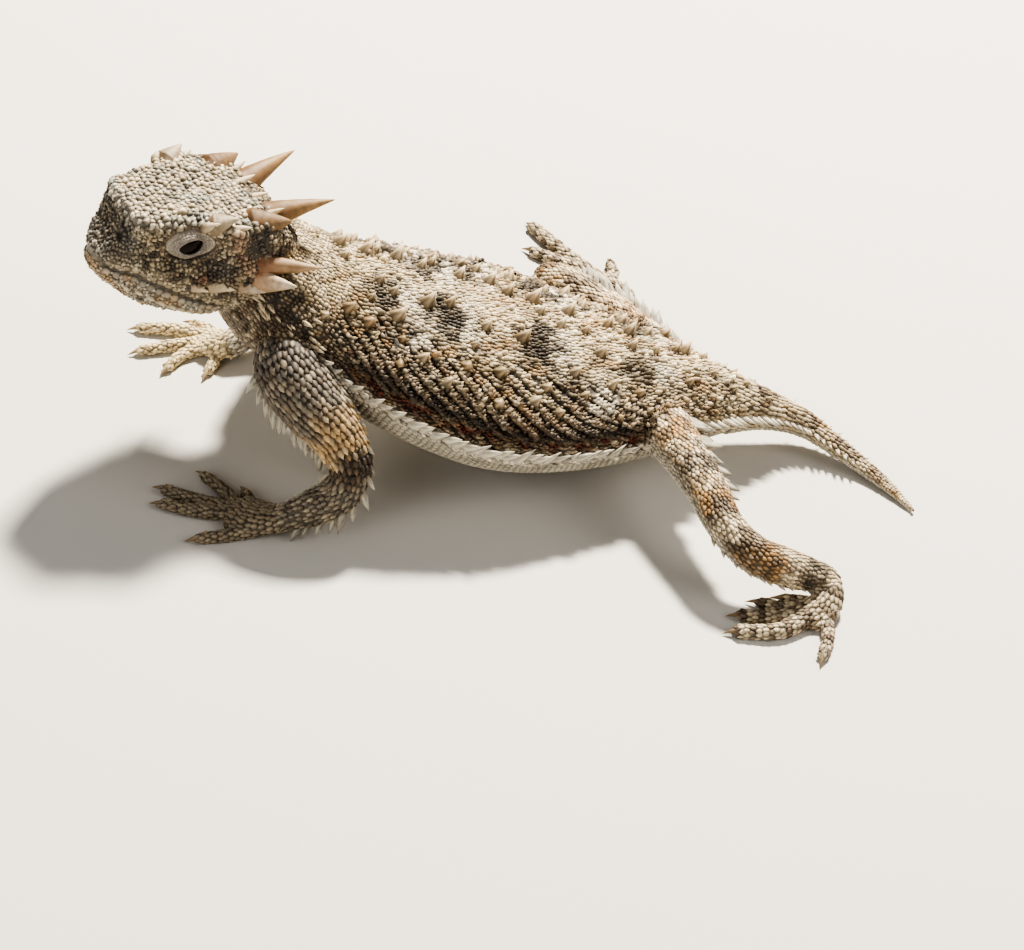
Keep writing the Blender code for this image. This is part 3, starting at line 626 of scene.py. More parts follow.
def ripple(points, size, seed):
    """Smooth random field of about minus one to one: nine sine waves in random directions."""
    random = np.random.default_rng(seed)
    waves = unit(random.normal(size=(9, 3))) * 2 * np.pi / size * random.uniform(0.6, 1.5, (9, 1))
    return np.sin(points @ waves.T + random.uniform(0, 2 * np.pi, 9)).mean(axis=1) * 2.4


def blend(colour, other, amount):
    """Colour moved towards another by an amount from nought to one."""
    return colour + np.subtract(other, colour) * np.reshape(np.clip(amount, 0, 1), (-1, 1))


def painted(colour, coats):
    """Colour with coats of other colours laid over it in turn, each by its own amount."""
    for other, amount in coats:
        colour = blend(colour, other, amount)
    return colour


def varied(colour, spread, usual=1.0, count=None):
    """Each scale's colour, or one colour for a count of them, times a random factor near the usual."""
    return np.multiply(colour, DICE.normal(usual, spread, (count or len(colour), 1)))


COAT = {}
ROOTS, ROOT_COLOURS = [], []


def note(roots, colour):
    """Remembers the colour at these roots for the skin and the granules between."""
    ROOTS.append(roots)
    ROOT_COLOURS.append(np.broadcast_to(colour, roots.shape))


def lay(piece, shape, placing, size, colour, patch, keep=slice(None), noted=True):
    """Lays one shape on all kept roots at once: root + ahead, side and outward parts of its points.

    The placing is the roots, the ways to the rear and the ways out. One size may serve all.
    """
    points, faces, shades = SHAPES[shape]
    size = np.broadcast_to(size, placing[0].shape)
    roots, ahead, out, size, colour, patch = (values[keep] for values in (*placing, size, colour, patch))
    side = np.cross(out, ahead)
    laid = (roots[:, None]
            + (size[:, 0, None] * points[:, 0])[..., None] * ahead[:, None]
            + (size[:, 1, None] * points[:, 1])[..., None] * side[:, None]
            + (size[:, 2, None] * points[:, 2])[..., None] * out[:, None])
    # Painted shade and highlight: each point's colour is the scale's colour times its shape's shade.
    shaded = np.clip(colour[:, None] * shades[None, :, None], 0, 1)
    spot = patch[:, None] + PATCH * points[None, :, :2]
    COAT.setdefault(piece, []).append((laid, faces, shaded, spot))
    if noted:
        note(roots, colour)


def coat_mesh(piece):
    """One mesh of all shapes laid on a piece, with its colours, painted shade and highlight in them, and its
    patch map.
    """
    points, faces, colours, spots, count = [], [], [], [], 0
    for laid, shape_faces, shaded, spot in COAT[piece]:
        scales, corners = laid.shape[:2]
        starts = count + np.arange(scales) * corners
        faces.append((starts[:, None, None] + shape_faces[None]).reshape(-1, 3))
        points.append(laid.reshape(-1, 3))
        colours.append(shaded.reshape(-1, 3))
        spots.append(spot.reshape(-1, 2))
        count += scales * corners
    points, faces = np.vstack(points), np.vstack(faces)
    colours, spots = np.vstack(colours), np.vstack(spots)
    points[:, 2] = np.maximum(points[:, 2], 0.0)
    mesh = bpy.data.meshes.new(piece)
    mesh.vertices.add(len(points))
    mesh.vertices.foreach_set("co", placed(points).ravel())
    mesh.loops.add(faces.size)
    mesh.loops.foreach_set("vertex_index", faces.ravel())
    mesh.polygons.add(len(faces))
    mesh.polygons.foreach_set("loop_start", np.arange(len(faces)) * 3)
    mesh.update(calc_edges=True)
    paint(mesh, colours)
    low, high = spots.min(axis=0), spots.max(axis=0)
    spots = MAP_EDGE + (1 - 2 * MAP_EDGE) * (spots - low) / (high - low)
    chart = mesh.uv_layers.new(name="OFBake")
    chart.data.foreach_set("uv", spots[faces.ravel()].ravel())
    return mesh


def paint(mesh, colours):
    """Writes one colour for each point as the attribute that the materials read."""
    layer = mesh.color_attributes.new(name="markings_and_painted_light", type="FLOAT_COLOR", domain="POINT")
    layer.data.foreach_set("color", np.column_stack([colours, np.ones(len(colours))]).ravel())


def new_node(tree, kind, **values):
    """Shader node with its input sockets set by name."""
    node = tree.nodes.new(kind)
    for socket, value in values.items():
        node.inputs[socket.replace("_", " ")].default_value = value
    return node


def join(tree, *links):
    """Links shader nodes: each link is a node, its output, the next node and its socket."""
    for start, output, end, socket in links:
        tree.links.new(start.outputs[output], end.inputs[socket])


def horny_grain():
    """Node group of fine wear on horny scales: mottles a colour, and gives roughness and height.

    Coarse noise, brought between one less and one more the mottle, scales the colour. Fine noise is
    the height, and brought between two values the roughness.
    """
    group = bpy.data.node_groups.new("horny_grain", "ShaderNodeTree")
    for way_on, name, kind in (("INPUT", "Colour", "Color"), ("INPUT", "Mottle", "Float"),
                               ("INPUT", "Size", "Float"), ("OUTPUT", "Colour", "Color"),
                               ("OUTPUT", "Roughness", "Float"), ("OUTPUT", "Height", "Float")):
        group.interface.new_socket(name, in_out=way_on, socket_type=f"NodeSocket{kind}")
    enter = group.nodes.new("NodeGroupInput")
    leave = group.nodes.new("NodeGroupOutput")
    place = group.nodes.new("ShaderNodeTexCoord")
    coarse = new_node(group, "ShaderNodeTexNoise", Detail=3.0)
    fine = new_node(group, "ShaderNodeTexNoise", Detail=2.0, Scale=9000.0)
    tone = new_node(group, "ShaderNodeMapRange", From_Min=0.3, From_Max=0.7)
    low, high = new_node(group, "ShaderNodeMath"), new_node(group, "ShaderNodeMath")
    for limit, operation in ((low, "SUBTRACT"), (high, "ADD")):
        limit.operation = operation
        limit.inputs[0].default_value = 1.0
    scaled = new_node(group, "ShaderNodeVectorMath")
    scaled.operation = "SCALE"
    rough = new_node(group, "ShaderNodeMapRange", To_Min=0.42, To_Max=0.72)
    join(group, (place, "Object", coarse, "Vector"), (place, "Object", fine, "Vector"),
         (enter, "Size", coarse, "Scale"), (enter, "Mottle", low, 1), (enter, "Mottle", high, 1),
         (coarse, "Fac", tone, "Value"), (low, 0, tone, "To Min"), (high, 0, tone, "To Max"),
         (enter, "Colour", scaled, 0), (tone, "Result", scaled, "Scale"),
         (scaled, "Vector", leave, "Colour"), (fine, "Fac", rough, "Value"),
         (rough, "Result", leave, "Roughness"), (fine, "Fac", leave, "Height"))
    return group


GRAIN = horny_grain()


def coat_material(name, mottle, size, bump):
    """Material that takes its colour, painted shade and highlights in it, from the colour attribute, and its
    wear from the horny grain.
    """
    made = bpy.data.materials.new(name)
    made.use_nodes = True
    tree = made.node_tree
    shader = tree.nodes["Principled BSDF"]
    markings_and_painted_light = tree.nodes.new("ShaderNodeAttribute")
    markings_and_painted_light.attribute_name = "markings_and_painted_light"
    grain = tree.nodes.new("ShaderNodeGroup")
    grain.node_tree = GRAIN
    grain.inputs["Mottle"].default_value = mottle
    grain.inputs["Size"].default_value = size
    relief = new_node(tree, "ShaderNodeBump", Strength=bump, Distance=0.00006)
    join(tree, (markings_and_painted_light, "Color", grain, "Colour"), (grain, "Colour", shader, "Base Color"),
         (grain, "Roughness", shader, "Roughness"), (grain, "Height", relief, "Height"),
         (relief, "Normal", shader, "Normal"))
    return made


SCALE_HORN = coat_material("scale_horn", 0.14, 1500.0, 0.35)
HIDE = coat_material("hide", 0.2, 1800.0, 0.5)

# Colours of the coat.
# Cream and sand on the back with orange-brown tints, dark blotches edged with cream, a rust line
# over the white fringe, an off-white belly and a grey-beige head.
CREAM = (0.68, 0.565, 0.395)
SAND = (0.40, 0.31, 0.19)
TAN = (0.38, 0.22, 0.09)
DARK = (0.030, 0.020, 0.013)
UMBER = (0.12, 0.08, 0.05)
RUST = (0.125, 0.032, 0.016)
WHITE = (0.70, 0.64, 0.52)
BELLY = (0.52, 0.47, 0.38)
GREY = (0.36, 0.32, 0.25)
SLATE = (0.105, 0.088, 0.075)
# Dark brown painted as shadow on the nape, under the horns and the jaw.
NAPE_SHADOW = (0.062, 0.042, 0.028)

# Dark blotches beside the spine: station, place to the left as a part of a quarter turn, strength.
BLOTCHES = (
    (4.81, 0.13, 0.95), (6.44, 0.12, 0.95), (8.10, 0.16, 0.7), (3.80, 0.10, 0.9), (4.40, -0.28, 0.9),
    (5.15, -0.40, 0.9), (6.50, -0.40, 0.9), (8.10, -0.40, 0.8), (3.70, -0.46, 0.8), (7.10, 0.42, 0.45),
    (4.10, 0.36, 0.4),
)


def trunk_colours(station, left, points):
    """Markings of neck, trunk and tail from the station, the place round the body and ripples.

    Tints come first, then painted shade: dark in the valleys between the folds and on the lower
    flanks. Then the blotches, then painted shadow under the head on shoulder and nape, the line over
    the fringe, belly, throat, and the tail's bands.
    """
    over = np.abs(left)
    wave, strength = flank_folds(station, over)
    # Painted shade: the valleys between the folds are darkened.
    valley_shade = np.clip(0.35 - wave + 0.5 * ripple(points, 1.5, 4), 0, 1)
    # Painted shade: the lower flanks are darkened towards umber.
    flank = bell((over - 0.72) / 0.24) * ramp(station, 3.0, 1) * ramp(station, 9.4, -1)
    colour = painted(SAND, (
        (CREAM, 0.5 + 0.8 * ripple(points, 3.5, 1)),
        (TAN, 0.7 * np.clip(2.5 * ripple(points, 2.6, 2) - 0.5, 0, 1) * (over < 1)
         * np.clip(station - 2.4, 0.25, 1)),
        (UMBER, 0.6 * np.clip(ripple(points, 1.8, 3), 0, 1)),
        (CREAM, 0.7 * bell((left + 0.02) / 0.10) * (station < 9.5)),
        (DARK, np.clip(1.8 * strength, 0, 0.98) * valley_shade),
        (UMBER, 0.76 * flank)))
    for spot_station, spot_left, strong in BLOTCHES:
        along = (station - spot_station) + 0.13 * ripple(points, 1.8, 5)
        aside = (left - spot_left) + 0.045 * ripple(points, 2.0, 6)
        dark = np.clip(4.0 - 3.0 * np.hypot(along / 0.27, aside / 0.13), 0, 1)
        colour = painted(colour, ((WHITE, 0.85 * (bell((along - 0.40) / 0.20) * bell(aside / 0.17))),
                                  (DARK, 0.95 * strong * dark)))
    # Painted shadow under the head and horns darkens the shoulder and the nape.
    shoulder = bell((over - 0.86) / 0.26) * bell((station - 2.7) / 1.0)
    nape = bell((over - 0.74) / 0.24) * bell((station - 1.9) / 0.8)
    edge = 0.87 + 0.025 * ripple(points, 3.0, 8)
    sides = ramp(station, 3.5, 0.5) * ramp(station, 8.4, -0.5)
    throat = ramp(over, 0.75, 0.2) * ramp(station, 3.6, -0.8)
    ring = np.sin(2 * np.pi * (station - 9.2) / 1.25 + 1.8 * ripple(points, 4.0, 10))
    tail = 0.84 * painted(CREAM, (
        (TAN, 0.2 + 0.5 * ripple(points, 2.2, 11)),
        (UMBER, (ring > 0.1) * 0.85 * bell(over / 0.75) * (0.8 + 0.5 * ripple(points, 1.2, 14))),
        (BELLY, (over > 1.1) * 0.9)))
    return painted(colour, (
        (DARK, 1.1 * shoulder * (0.75 + 0.5 * ripple(points, 1.8, 7))),
        (NAPE_SHADOW, nape * (0.85 + 0.4 * ripple(points, 1.5, 15))),
        (DARK, 0.85 * sides * bell((over - edge + 0.10) / 0.07)),
        (RUST, sides * bell((over - edge) / 0.035) * (0.75 + 1.1 * ripple(points, 2.0, 12))),
        (blend(BELLY, GREY, 0.3 + 0.5 * ripple(points, 4.0, 9)),
         ramp(over, 0.93, 0.05) * ramp(station, 2.6, 0.8)),
        (UMBER, 0.75 * throat * (0.9 + 0.5 * ripple(points, 1.4, 13))),
        (tail, (station - 9.2) / 0.5)))


# Scales of the neck, trunk and tail.
# Small keeled scales in slanting rows on the back, flat square-set ones under the belly, and
# keeled pointed whorls on the tail. Large ribbed cones stand among those of the back.
TRUNK_WAY = way(BACKBONE)


def at_station(row):
    """Distance along the backbone at a station, which may lie between two."""
    return np.interp(row, np.arange(len(BACKBONE)), TRUNK_WAY)


def station_of(along):
    """Station number at a distance along the backbone."""
    return np.interp(along, TRUNK_WAY, np.arange(len(BACKBONE)))


# Large cones of the near side and the spine: station, place to the left, size.
CONES = np.array([
    (4.51, 0.08, 1.5), (4.06, 0.27, 1.5), (3.64, 0.41, 1.3), (3.26, 0.38, 1.4), (2.93, 0.56, 1.0),
    (4.58, 0.47, 1.2), (5.26, 0.41, 1.3), (5.86, 0.38, 1.3), (6.19, 0.12, 1.4), (5.01, 0.57, 1.2),
    (5.90, 0.57, 1.2), (5.64, 0.63, 0.9), (4.27, 0.57, 1.0), (4.24, 0.42, 0.9), (3.56, 0.21, 0.8),
    (3.66, 0.03, 1.0), (3.93, 0.09, 1.0), (5.52, 0.12, 1.1), (5.35, 0.26, 0.8), (6.45, 0.51, 1.2),
    (6.60, 0.40, 1.1), (6.07, 0.67, 0.8), (4.86, 0.04, 1.2), (5.98, -0.21, 1.2), (5.13, -0.43, 1.1),
    (6.81, 0.56, 1.0), (7.21, 0.44, 1.0), (6.99, 0.27, 1.1), (7.65, 0.33, 1.1), (7.47, 0.08, 1.2),
    (8.06, 0.38, 1.0), (8.00, -0.07, 1.0), (8.41, -0.08, 1.0), (6.78, -0.07, 1.1), (7.21, -0.09, 0.9),
    (6.48, -0.13, 1.0), (4.58, -0.33, 1.0), (4.24, -0.61, 1.1), (3.56, -0.32, 0.9), (2.80, -0.09, 0.9),
    (7.78, 0.62, 0.8), (8.24, 0.57, 0.8), (8.9, 0.25, 0.9), (9.3, 0.42, 0.8), (9.4, 0.05, 0.8),
    (9.8, 0.24, 0.8), (10.2, 0.02, 0.7), (10.3, 0.45, 0.65), (10.8, 0.22, 0.6), (9.0, 0.62, 0.75),
    (9.7, 0.62, 0.7), (8.8, -0.2, 0.9), (9.4, -0.32, 0.8), (10.0, -0.22, 0.7), (9.2, -0.58, 0.8),
    (10.6, -0.4, 0.6)])
CONE_HALF = 0.62


def far_cones():
    """Cones of the far flank, which the camera hardly sees: jittered rows like the near side's."""
    station, left = np.meshgrid(np.arange(2.6, 9.0, 0.62), (-0.26, -0.42, -0.58, -0.72))
    station = station + 0.3 * (np.arange(4) % 2)[:, None] + DICE.normal(0, 0.1, station.shape)
    left = left + DICE.normal(0, 0.025, left.shape)
    size = 1.35 - 0.45 * np.abs(left) + DICE.normal(0, 0.12, left.shape)
    return np.column_stack([station.ravel(), left.ravel(), size.ravel()])


cones = np.vstack([CONES, far_cones()])
along, turn = at_station(cones[:, 0]), np.pi / 2 * (1 + cones[:, 1])
placing, keep = rooted("trunk", along, turn)
keep = clear_of(placing[0], 1.0, keep)
colour = painted(trunk_colours(cones[:, 0], cones[:, 1], placing[0]), (
    (SAND, 0.8), (TAN, DICE.uniform(0.0, 0.5, len(cones))), (CREAM, DICE.uniform(0.0, 0.4, len(cones)))))
half = CONE_HALF * cones[:, 2]
size = np.column_stack([half * 1.25, half * 1.15, half * np.where(np.abs(cones[:, 1]) < 0.4, 2.0, 1.5)])
patch = patch_of("trunk", along, turn)
lay("cones_of_the_back", "cone", placing, size, colour, patch, keep)

# A ring of small granules leans against the foot of each cone, its colour darkened to 0.42 of the
# cone's as painted shadow round the foot.
PETALS = 9
roots, ahead, out = (values[keep] for values in placing)
petal_turn = np.arange(PETALS) * 2 * np.pi / PETALS + DICE.uniform(0, 1, (len(roots), 1))
away = (np.cos(petal_turn)[..., None] * ahead[:, None]
        + np.sin(petal_turn)[..., None] * np.cross(out, ahead)[:, None])
foot = (roots[:, None] + away * (half[keep] * 1.15)[:, None, None]).reshape(-1, 3)
petal_size = np.outer(np.repeat(half[keep] * 0.42, PETALS), (1.1, 0.9, 0.8))
petal_patch = np.column_stack([np.cos(petal_turn).ravel(), np.sin(petal_turn).ravel()])
petal_patch = np.repeat(patch[keep], PETALS, axis=0) + 0.004 * petal_patch
lay("cones_of_the_back", "granule", (foot, away.reshape(-1, 3), np.repeat(out, PETALS, axis=0)),
    petal_size, np.repeat(colour[keep] * 0.42, PETALS, axis=0), petal_patch)
TAKEN.extend(foot.tolist())

# Each zone: piece, first and last station, the places round the body between which it runs, the
# scales' shape, and the step from one to the next.
BACK_ZONES = (
    ("scales_front_back", 0.9, 3.1, -1.3, 1.3, "granule", 0.50),
    ("scales_front_back", 3.1, 5.1, -1.04, -0.45, "keeled", 0.48),
    ("scales_front_back", 3.1, 5.1, -0.45, 0.45, "keeled", 0.53),
    ("scales_front_back", 3.1, 5.1, 0.45, 1.04, "keeled", 0.46),
    ("scales_rear_back", 5.1, 9.9, -1.04, -0.45, "keeled", 0.46),
    ("scales_rear_back", 5.1, 9.9, -0.45, 0.45, "keeled", 0.53),
    ("scales_rear_back", 5.1, 9.9, 0.45, 1.04, "keeled", 0.46),
)
for piece, first, last, low, high, shape, step in BACK_ZONES:
    along, turn = rows_on("trunk", at_station(first), at_station(last), step, step * 0.94,
                          (np.pi / 2 * (1 + low), np.pi / 2 * (1 + high)), 0.15)
    (roots, ahead, out), keep = rooted("trunk", along, turn)
    station, left = station_of(along), leftness(turn % (2 * np.pi))
    wave, strength = flank_folds(station, np.abs(left))
    # The valleys between the folds stay bare, and their skin is painted dark, as shade in the creases.
    in_valley = keep & (wave < -0.32) & (strength > 0.30)
    note(roots[in_valley], DARK)
    keep = clear_of(roots, 0.64 * step, keep & ~in_valley)
    colour = varied(trunk_colours(station, left, roots), 0.24)
    spiky = (DICE.random(len(along)) > 0.955 - 0.07 * (station > 7.5)) * (shape == "keeled")
    on_fold = np.clip(strength, 0, 1) * (wave > 0.2)
    larger = 1.0 + 0.35 * spiky + 0.25 * on_fold + DICE.normal(0, 0.12, len(along))
    size = np.column_stack([0.66 * step * larger, 0.50 * step * larger, 0.52 * step * larger ** 1.8])
    lift = (0.08 + 0.55 * spiky)[:, None]
    askew = DICE.normal(0, 0.14, (len(along), 1))
    ahead = unit(ahead + askew * np.cross(out, ahead))
    lifted = unit(ahead + lift * out), unit(out - lift * ahead)
    lay(piece, shape, (roots, *lifted), size, colour, patch_of("trunk", along, turn), keep)

BELLY_STEP = 0.66
along, turn = rows_on("trunk", at_station(1.0), at_station(9.9), BELLY_STEP, BELLY_STEP,
                      (np.pi + 0.06, 2 * np.pi - 0.06), 0.06)
placing, keep = rooted("trunk", along, turn)
keep = clear_of(placing[0], 0.36, keep)
colour = varied(trunk_colours(station_of(along), leftness(turn), placing[0]), 0.06)
lay("scales_belly", "plate", placing, (0.38, 0.33, 0.10), colour, patch_of("trunk", along, turn), keep)

tail_ends = at_station(np.array([9.9, 11.0, 12.0, 13.0, 14.5, 15.9]))
for first, last, step in zip(tail_ends[:-1], tail_ends[1:], (0.62, 0.60, 0.54, 0.46, 0.36)):
    along, turn = rows_on("trunk", first, last, step, step * 1.1)
    placing, keep = rooted("trunk", along, turn)
    keep = clear_of(placing[0], step * 0.6, keep)
    colour = varied(trunk_colours(station_of(along), leftness(turn), placing[0]), 0.10)
    size = (step * 0.85, step * 0.56, step * 0.5)
    lay("scales_tail", "keeled", placing, size, colour, patch_of("trunk", along, turn), keep)

# The fringe and the spines of the tail's edges.
# One row of white flattened spines along each flank leans outward and to the rear, and another row
# runs down each edge of the tail to its middle.


def spine_row(piece, form, along, turn, lean, size, colour, twist=0.0):
    """Row of spines: each points outward, leaning to the rear by the lean, and up by the twist."""
    (roots, ahead, out), keep = rooted(form, along, turn)
    point = unit(0.6 * out + lean * ahead + twist * UP)
    rear = unit(ahead - point * (ahead * point).sum(axis=1, keepdims=True))
    lay(piece, "spine", (roots, rear, point), size, colour, patch_of(form, along, turn), keep, False)


fringe_along = np.arange(at_station(3.3), at_station(8.7), 1.25)
for turn_at in (np.pi - 0.02, 0.02):
    along = fringe_along + DICE.normal(0, 0.12, len(fringe_along))
    swell = 0.55 + 0.45 * np.sin(np.pi * np.linspace(0.05, 0.95, len(along)))
    swell = swell + DICE.normal(0, 0.08, len(along))
    colour = varied(WHITE, 0.05, count=len(along))
    spine_row("fringe_spines", "trunk", along, np.full(len(along), turn_at), 0.7,
              np.outer(swell, (0.92, 0.46, 1.6)), colour, 0.9)
tail_along = np.arange(at_station(8.9), at_station(13.8), 1.15)
for turn_at in (np.pi - 0.3, 0.3):
    along = tail_along + DICE.normal(0, 0.14, len(tail_along))
    fade = np.linspace(1.0, 0.45, len(along)) * DICE.normal(1.0, 0.12, len(along))
    colour = varied(WHITE, 0.05, count=len(along))
    spine_row("fringe_spines", "trunk", along, np.full(len(along), turn_at), 0.22,
              np.outer(fade, (0.72, 0.42, 2.0)), colour, -0.1)

# Scales of the limbs, hands and feet.
# Overlapping keeled and pointed scales run down to the digits. Bands of orange, near-black and
# cream cross the upper side, and the inner side is pale. Spines edge the arms and the thighs.
# The near arm's grey-brown, darkened as painted shadow.
ASH_IN_SHADOW = (0.19, 0.16, 0.12)
GOLD = (0.43, 0.29, 0.145)
# Colours at stations down each limb, passing into each other. The near arm's are darker, as painted
# shadow of the head, and the far arm's paler, as painted sunlight.
LIMB_BANDS = {
    "left_arm": ((1.0, SLATE), (2.2, ASH_IN_SHADOW), (2.8, GOLD), (3.3, GOLD), (3.7, DARK), (4.1, UMBER),
                 (4.5, ASH_IN_SHADOW), (7.0, ASH_IN_SHADOW)),
    "right_arm": ((1.0, GREY), (2.0, CREAM), (2.8, TAN), (3.5, UMBER), (4.1, UMBER), (4.6, CREAM),
                  (7.0, CREAM)),
    "left_leg": ((1.0, CREAM), (1.6, TAN), (2.1, CREAM), (2.5, DARK), (2.9, CREAM), (3.4, TAN), (3.8, UMBER),
                 (4.3, CREAM), (4.9, UMBER), (5.4, TAN), (6.0, CREAM), (6.4, DARK), (7.0, CREAM)),
    "right_leg": ((1.0, CREAM), (1.6, TAN), (2.2, CREAM), (2.6, UMBER), (3.1, CREAM), (3.6, TAN),
                  (4.2, UMBER), (4.8, CREAM), (5.4, TAN), (6.0, CREAM), (6.5, UMBER), (7.0, CREAM)),
}
LIMB_STEPS = {"left_arm": 0.76, "right_arm": 0.76, "left_leg": 0.57, "right_leg": 0.57}
LEG_FRONT = unit(np.array([-0.8, 0.0, -0.55]))


def limb_colours(limb, station, top, points):
    """Bands along a limb, broken by ripples; the underside is pale."""
    places = [place for place, band in LIMB_BANDS[limb]]
    bands = np.array([band for place, band in LIMB_BANDS[limb]])
    wavy = station + 0.3 * ripple(points, 3.0, 21)
    colour = np.column_stack([np.interp(wavy, places, channel) for channel in bands.T])
    return painted(colour, (
        (CREAM, 0.25 * (ripple(points, 1.6, 22) > 0.4)),
        (UMBER, (0.35 + 0.3 * ("leg" in limb)) * (ripple(points, 1.9, 23) > 0.25)),
        (BELLY, -top * 2.5 - 0.6)))


for limb, stations in LIMBS.items():
    step = LIMB_STEPS[limb]
    along, turn = rows_on(limb, 1.0, FORMS[limb][1], step, step * 0.95)
    placing, keep = rooted(limb, along, turn, 0.7)
    keep = clear_of(placing[0], 0.62 * step, keep)
    station = np.interp(along, way(stations), np.arange(len(stations)))
    colour = varied(limb_colours(limb, station, np.sin(turn), placing[0]), 0.14)
    # The legs' front and inner faces are paler, with smaller scales.
    smooth = ("leg" in limb) * ramp(3 * (placing[2] @ LEG_FRONT), 1.2, 1)
    colour = blend(colour, BELLY, 0.85 * smooth)
    taper = np.clip(1.15 - 0.06 * station, 0.6, 1.2) * (1 - 0.30 * smooth)
    taper = taper * DICE.normal(1.0, 0.10, len(along))
    size = np.outer(taper * step, (0.76, 0.62, 0.34))
    lay(f"scales_{limb}", "keeled", placing, size, colour, patch_of(limb, along, turn), keep)

# The near hand is darker, as painted shadow, and the far hand paler, as painted sunlight.
HAND_TONES = {"left_arm": (0.26, 0.21, 0.145), "right_arm": (0.68, 0.55, 0.34),
              "left_leg": (0.52, 0.43, 0.30), "right_leg": (0.52, 0.43, 0.30)}
for limb in LIMBS:
    piece = "scales_left_digits" if "left" in limb else "scales_right_digits"
    for number in range(6):
        form = f"{limb}_palm" if number == 0 else f"{limb}_digit_{number}"
        step = 0.62 if number == 0 else 0.56
        along, turn = rows_on(form, 0.3, FORMS[form][1], step, step * 1.05)
        placing, keep = rooted(form, along, turn, 0.45)
        keep = clear_of(placing[0], step * 0.62, keep) & (placing[0][:, 2] > 0.12)
        tone = varied(HAND_TONES[limb], 0.10, count=len(along))
        rings = 0.8 * ("leg" in limb) * (np.sin(2 * np.pi * along / 2.1 + number) > 0.3)
        tone = blend(tone, UMBER, rings + 0.2 * ripple(placing[0], 2.0, 31))
        patch = (patch_of(form, along, turn) + (number, "leg" in limb)) / (6, 2)
        lay(piece, "keeled", placing, (step * 0.76, step * 0.68, step * 0.34), tone, patch, keep)

# Each row: limb, first and last station, the way its spines face, spacing, size, lean to the rear.
LIMB_SPINES = (
    ("left_arm", 1.0, 4.3, (-1.0, -0.1, -0.4), 1.0, 1.7, 0.4),
    ("left_arm", 4.2, 6.9, (0.5, -0.5, -0.7), 1.3, 1.7, 0.3),
    ("left_arm", 1.6, 4.6, (0.9, -0.2, 0.3), 1.3, 0.9, 0.6),
    ("right_arm", 1.0, 4.3, (-1.0, 0.1, -0.4), 1.15, 1.35, 0.5),
    ("right_arm", 4.4, 6.9, (0.5, 0.5, -0.7), 1.5, 1.35, 0.4),
    ("left_leg", 0.6, 2.2, (0.8, -0.3, 0.3), 1.2, 2.0, 0.4),
    ("left_leg", 1.2, 3.4, (0.9, 0.5, 0.3), 1.1, 1.6, 0.5),
    ("left_leg", 0.8, 3.8, (-1.0, -0.1, 0.1), 1.3, 0.8, 0.7),
    ("left_leg", 4.2, 6.8, (-0.3, -1.0, -0.5), 1.3, 0.9, 0.6),
    ("right_leg", 0.6, 2.2, (0.8, 0.3, 0.3), 1.2, 2.0, 0.4),
    ("right_leg", 1.2, 3.4, (0.9, -0.5, 0.3), 1.1, 1.6, 0.5),
    ("right_leg", 4.2, 6.8, (-0.3, 1.0, -0.5), 1.3, 0.9, 0.6),
)
for limb, first, last, facing, apart, height, lean in LIMB_SPINES:
    stations = LIMBS[limb]
    along = np.arange(*np.interp((first, last), np.arange(len(stations)), way(stations)), apart)
    along = along + DICE.normal(0, 0.2, len(along))
    side, up = frame_at(stations, along)
    turn = np.arctan2(up @ facing, side @ facing) + DICE.normal(0, 0.08, len(along))
    grown = height * DICE.normal(1.0, 0.22, len(along))
    colour = varied(WHITE, 0.08, 0.68, count=len(along))
    spine_row(f"spines_{limb}", limb, along, turn, lean, np.outer(grown, (0.40, 0.24, 0.85)), colour)

# Small groups of larger spines stand on the folds of the neck and on the shoulder. Each group is a
# station and a place round the body.
NECK_FOLDS = np.array([(2.36, 0.92), (3.02, 0.90), (2.1, 1.04), (1.7, 0.95), (2.7, 0.72)])
NECK_SPINES = np.repeat(NECK_FOLDS, 5, axis=0) + DICE.normal(0, (0.10, 0.045), (25, 2))
neck_size = np.outer(DICE.uniform(0.45, 0.95, 25), (0.55, 0.36, 1.15))
for sign in (1, -1):
    along, turn = at_station(NECK_SPINES[:, 0]), np.pi / 2 * (1 + sign * NECK_SPINES[:, 1])
    colour = varied(CREAM, 0.15, count=len(along))
    spine_row("neck_spines", "trunk", along, turn, 0.6, neck_size, colour, 0.2)

# Scales of the head.
# Convex many-sided granules roof the crown, finer ones cover the cheeks and the snout, whose steep
# face is painted dark as shade, square plates line both lips, and a row of larger plates runs along
# the lower jaw.
EYE_SLIT = np.array([10.9, 7.7, -1.35])
EYE_BALL = EYE_SLIT - (0, 2.35, 0)
HEAD_DEPTH = COAT_DEPTH["head"]
OLIVE = (0.40, 0.42, 0.36)
CLAY = (0.42, 0.27, 0.17)


